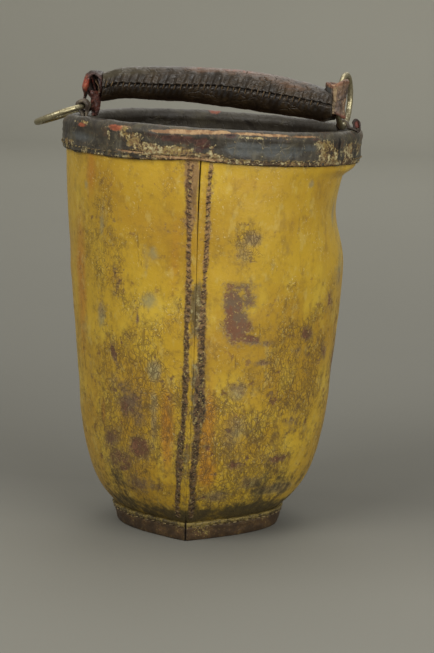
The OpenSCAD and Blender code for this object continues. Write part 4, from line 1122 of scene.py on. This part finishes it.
def seam_row(side):
    z = np.arange(FOOT_H + 5, NECK_H - 3, 4.4)
    r = wall_r(z, np.full_like(z, 5 * side) % 360)
    at = lambda across, out, up=0: wall_pt(z + up, np.degrees(side * (row_place(z, side) + across) / r) % 360, out)
    return at(-1.3, 0.9), at(1.3, 0.9, 1.4), at(0, 10) - at(0, 0)


for name, side in (("left", -1), ("right", 1)):
    piece("seam_thread_" + name, thread_row(*seam_row(side), 0.42, 0.9, 7 + side), dark_thread,
          "bucket", "dark_thread", "seam_stitches_" + name)

d, out = linspace(6, 354, 66), BAND_OUT - 0.1
piece("foot_thread", thread_row(wall_pt(FOOT_H - 3.2, d, out), wall_pt(FOOT_H - 3, d + 3, out),
                                wall_pt(FOOT_H - 3, d, 10) - wall_pt(FOOT_H - 3, d), 0.5, 0.5, 12),
      waxed_thread, "bucket", "waxed_thread", "foot_stitches")

d = linspace(-178, 178, 118)
w = np.interp(d, LOW_AT, LOW_W) + 4.2
start, end = at_rim(polar(RIM_OUT + 0.5, d, w)), at_rim(polar(RIM_OUT + 0.5, d + np.degrees(0.03), w + 0.4))
piece("rim_thread", thread_row(start, end, start - at_rim([0, 0, -20]), 0.5, 0.5, 14),
      waxed_thread, "bucket", "waxed_thread", "rim_stitches")


def on_bail(u, off, out):
    return at_rim(round_bail(u, bail_mid(u), bail_rad(u) + out, seam_turn(u) + off))


u = np.arange(BAIL_A + 9, BAIL_B - 7, 4.5)
piece("bail_thread", thread_row(on_bail(u + 0.6, 4, 1.2), on_bail(u - 1.1, -16, 0.2),
                                on_bail(u, -5, 9) - on_bail(u, -5, 0), 0.42, 0.5, 16),
      dark_thread, "handle", "dark_thread", "handle_stitches")

# %% [markdown]
# The iron hoop sags with the crest at the far left, so it is made anew. The stitches of the two
# tails stay as the CAD model has them, and only get a finish.

# %% The hoop, and the carried-over stitches
def rough_iron():
    f = Finish("hoop_iron")
    mid, fine = f.noise(140, detail=5), f.noise(600)
    f.base((0.12, 0.07, 0.045), (0.035, 0.03, 0.028), mid.clear(-0.1, 0.1))
    return f.done(0.6 + fine * 0.4, fine, 0.0004, Metallic=0.6)


d = linspace(0, 360, 240, endpoint=False)
hoop = tube(at_rim(polar(CREST_R, d, -ROLL_R - dip(d))), HOOP_R + 0.06 * sin(radians(9 * d)), 20, loop=True)
piece("hoop", [hoop], rough_iron(), "bucket", "hoop_iron", "rim_hoop")

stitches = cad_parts["tab_stitches"].data
stitches.materials.clear()
stitches.materials.append(waxed_thread)
stitches.polygons.foreach_set("material_index", np.zeros(len(stitches.polygons), np.int32))
print("tab_stitches keeps its CAD form")

# %% [markdown]
# ## Floor and light
# The bucket stands on paper that curves up far behind it, so there is no horizon near.
# Painted shade darkens the paper just behind the bucket and lightens it towards the far curve.
# A large soft lamp from the front left and above gives the form its gentle shading, and others
# from the right, from above and from behind keep the far side and the edges readable.

# %% Backdrop
PAPER_HALF, CURVE_AT, CURVE_R = 3200, 2400, 700
# Painted shade on the paper: a factor on its colour by distance behind the bucket, lowest just behind it.
SHADE_AT = [-330, -160, -30, 100, 240, 400, 600, 900, 1200, 1600, 2000, 2400, 2765, 2920]
SHADE = [0.75, 0.73, 0.635, 0.49, 0.533, 0.592, 0.652, 0.716, 0.793, 0.909, 1.044, 1.13, 1.36, 1.52]


def backdrop():
    a = radians(linspace(0, 90, 24)[1:])
    flat = np.concatenate([linspace(-PAPER_HALF, -300, 12), linspace(-260, CURVE_AT, 90)])
    y = np.concatenate([flat, CURVE_AT + CURVE_R * sin(a), np.full(12, CURVE_AT + CURVE_R)])
    z = np.concatenate([0 * flat, CURVE_R - CURVE_R * cos(a), linspace(800, 3200, 12)])
    X, Y = np.meshgrid(linspace(-PAPER_HALF, PAPER_HALF, 25), y)
    return [sheet(stack(np.broadcast_arrays(X, Y, z[:, None]), -1), shade=np.interp(Y, SHADE_AT, SHADE))]


def paper():
    f = Finish("paper")
    tone = f.noise(3, detail=2)
    f.base((0.315, 0.31, 0.27), (0.295, 0.29, 0.252), tone + 0.5)
    # Painted shade: the paper's colour times its stored shade.
    f.colour = f.colour * f.stored("shade")
    return f.done(0.9 + tone * 0.05)


floor = piece("paper", backdrop(), paper(), None, None)

# %% Lamps
for name, place, size, power, colour in (("key", (-0.9, -1.8, 1.7), 1.3, 27.5, (1, 0.98, 0.94)),
                                         ("fill", (1.6, -1.4, 1.0), 1.6, 26, (1, 0.99, 0.96)),
                                         ("top", (0.1, 0.5, 2.2), 1.4, 12, (1, 0.98, 0.94)),
                                         ("back", (-0.2, 2.1, 1.6), 1.8, 11, (1, 0.98, 0.94))):
    light = bpy.data.lights.new(name, "AREA")
    light.shape, light.size, light.energy, light.color = "SQUARE", size, power, colour
    lamp = bpy.data.objects.new(name, light)
    scene.collection.objects.link(lamp)
    lamp.location = place
    lamp.rotation_euler = (Vector((0, 0, 0.15)) - Vector(place)).to_track_quat("-Z", "Y").to_euler()
scene.world = bpy.data.worlds.new("room")
scene.world.use_nodes = True
room = scene.world.node_tree.nodes["Background"].inputs
room["Color"].default_value = (0.95, 0.93, 0.87, 1)
room["Strength"].default_value = 0.35
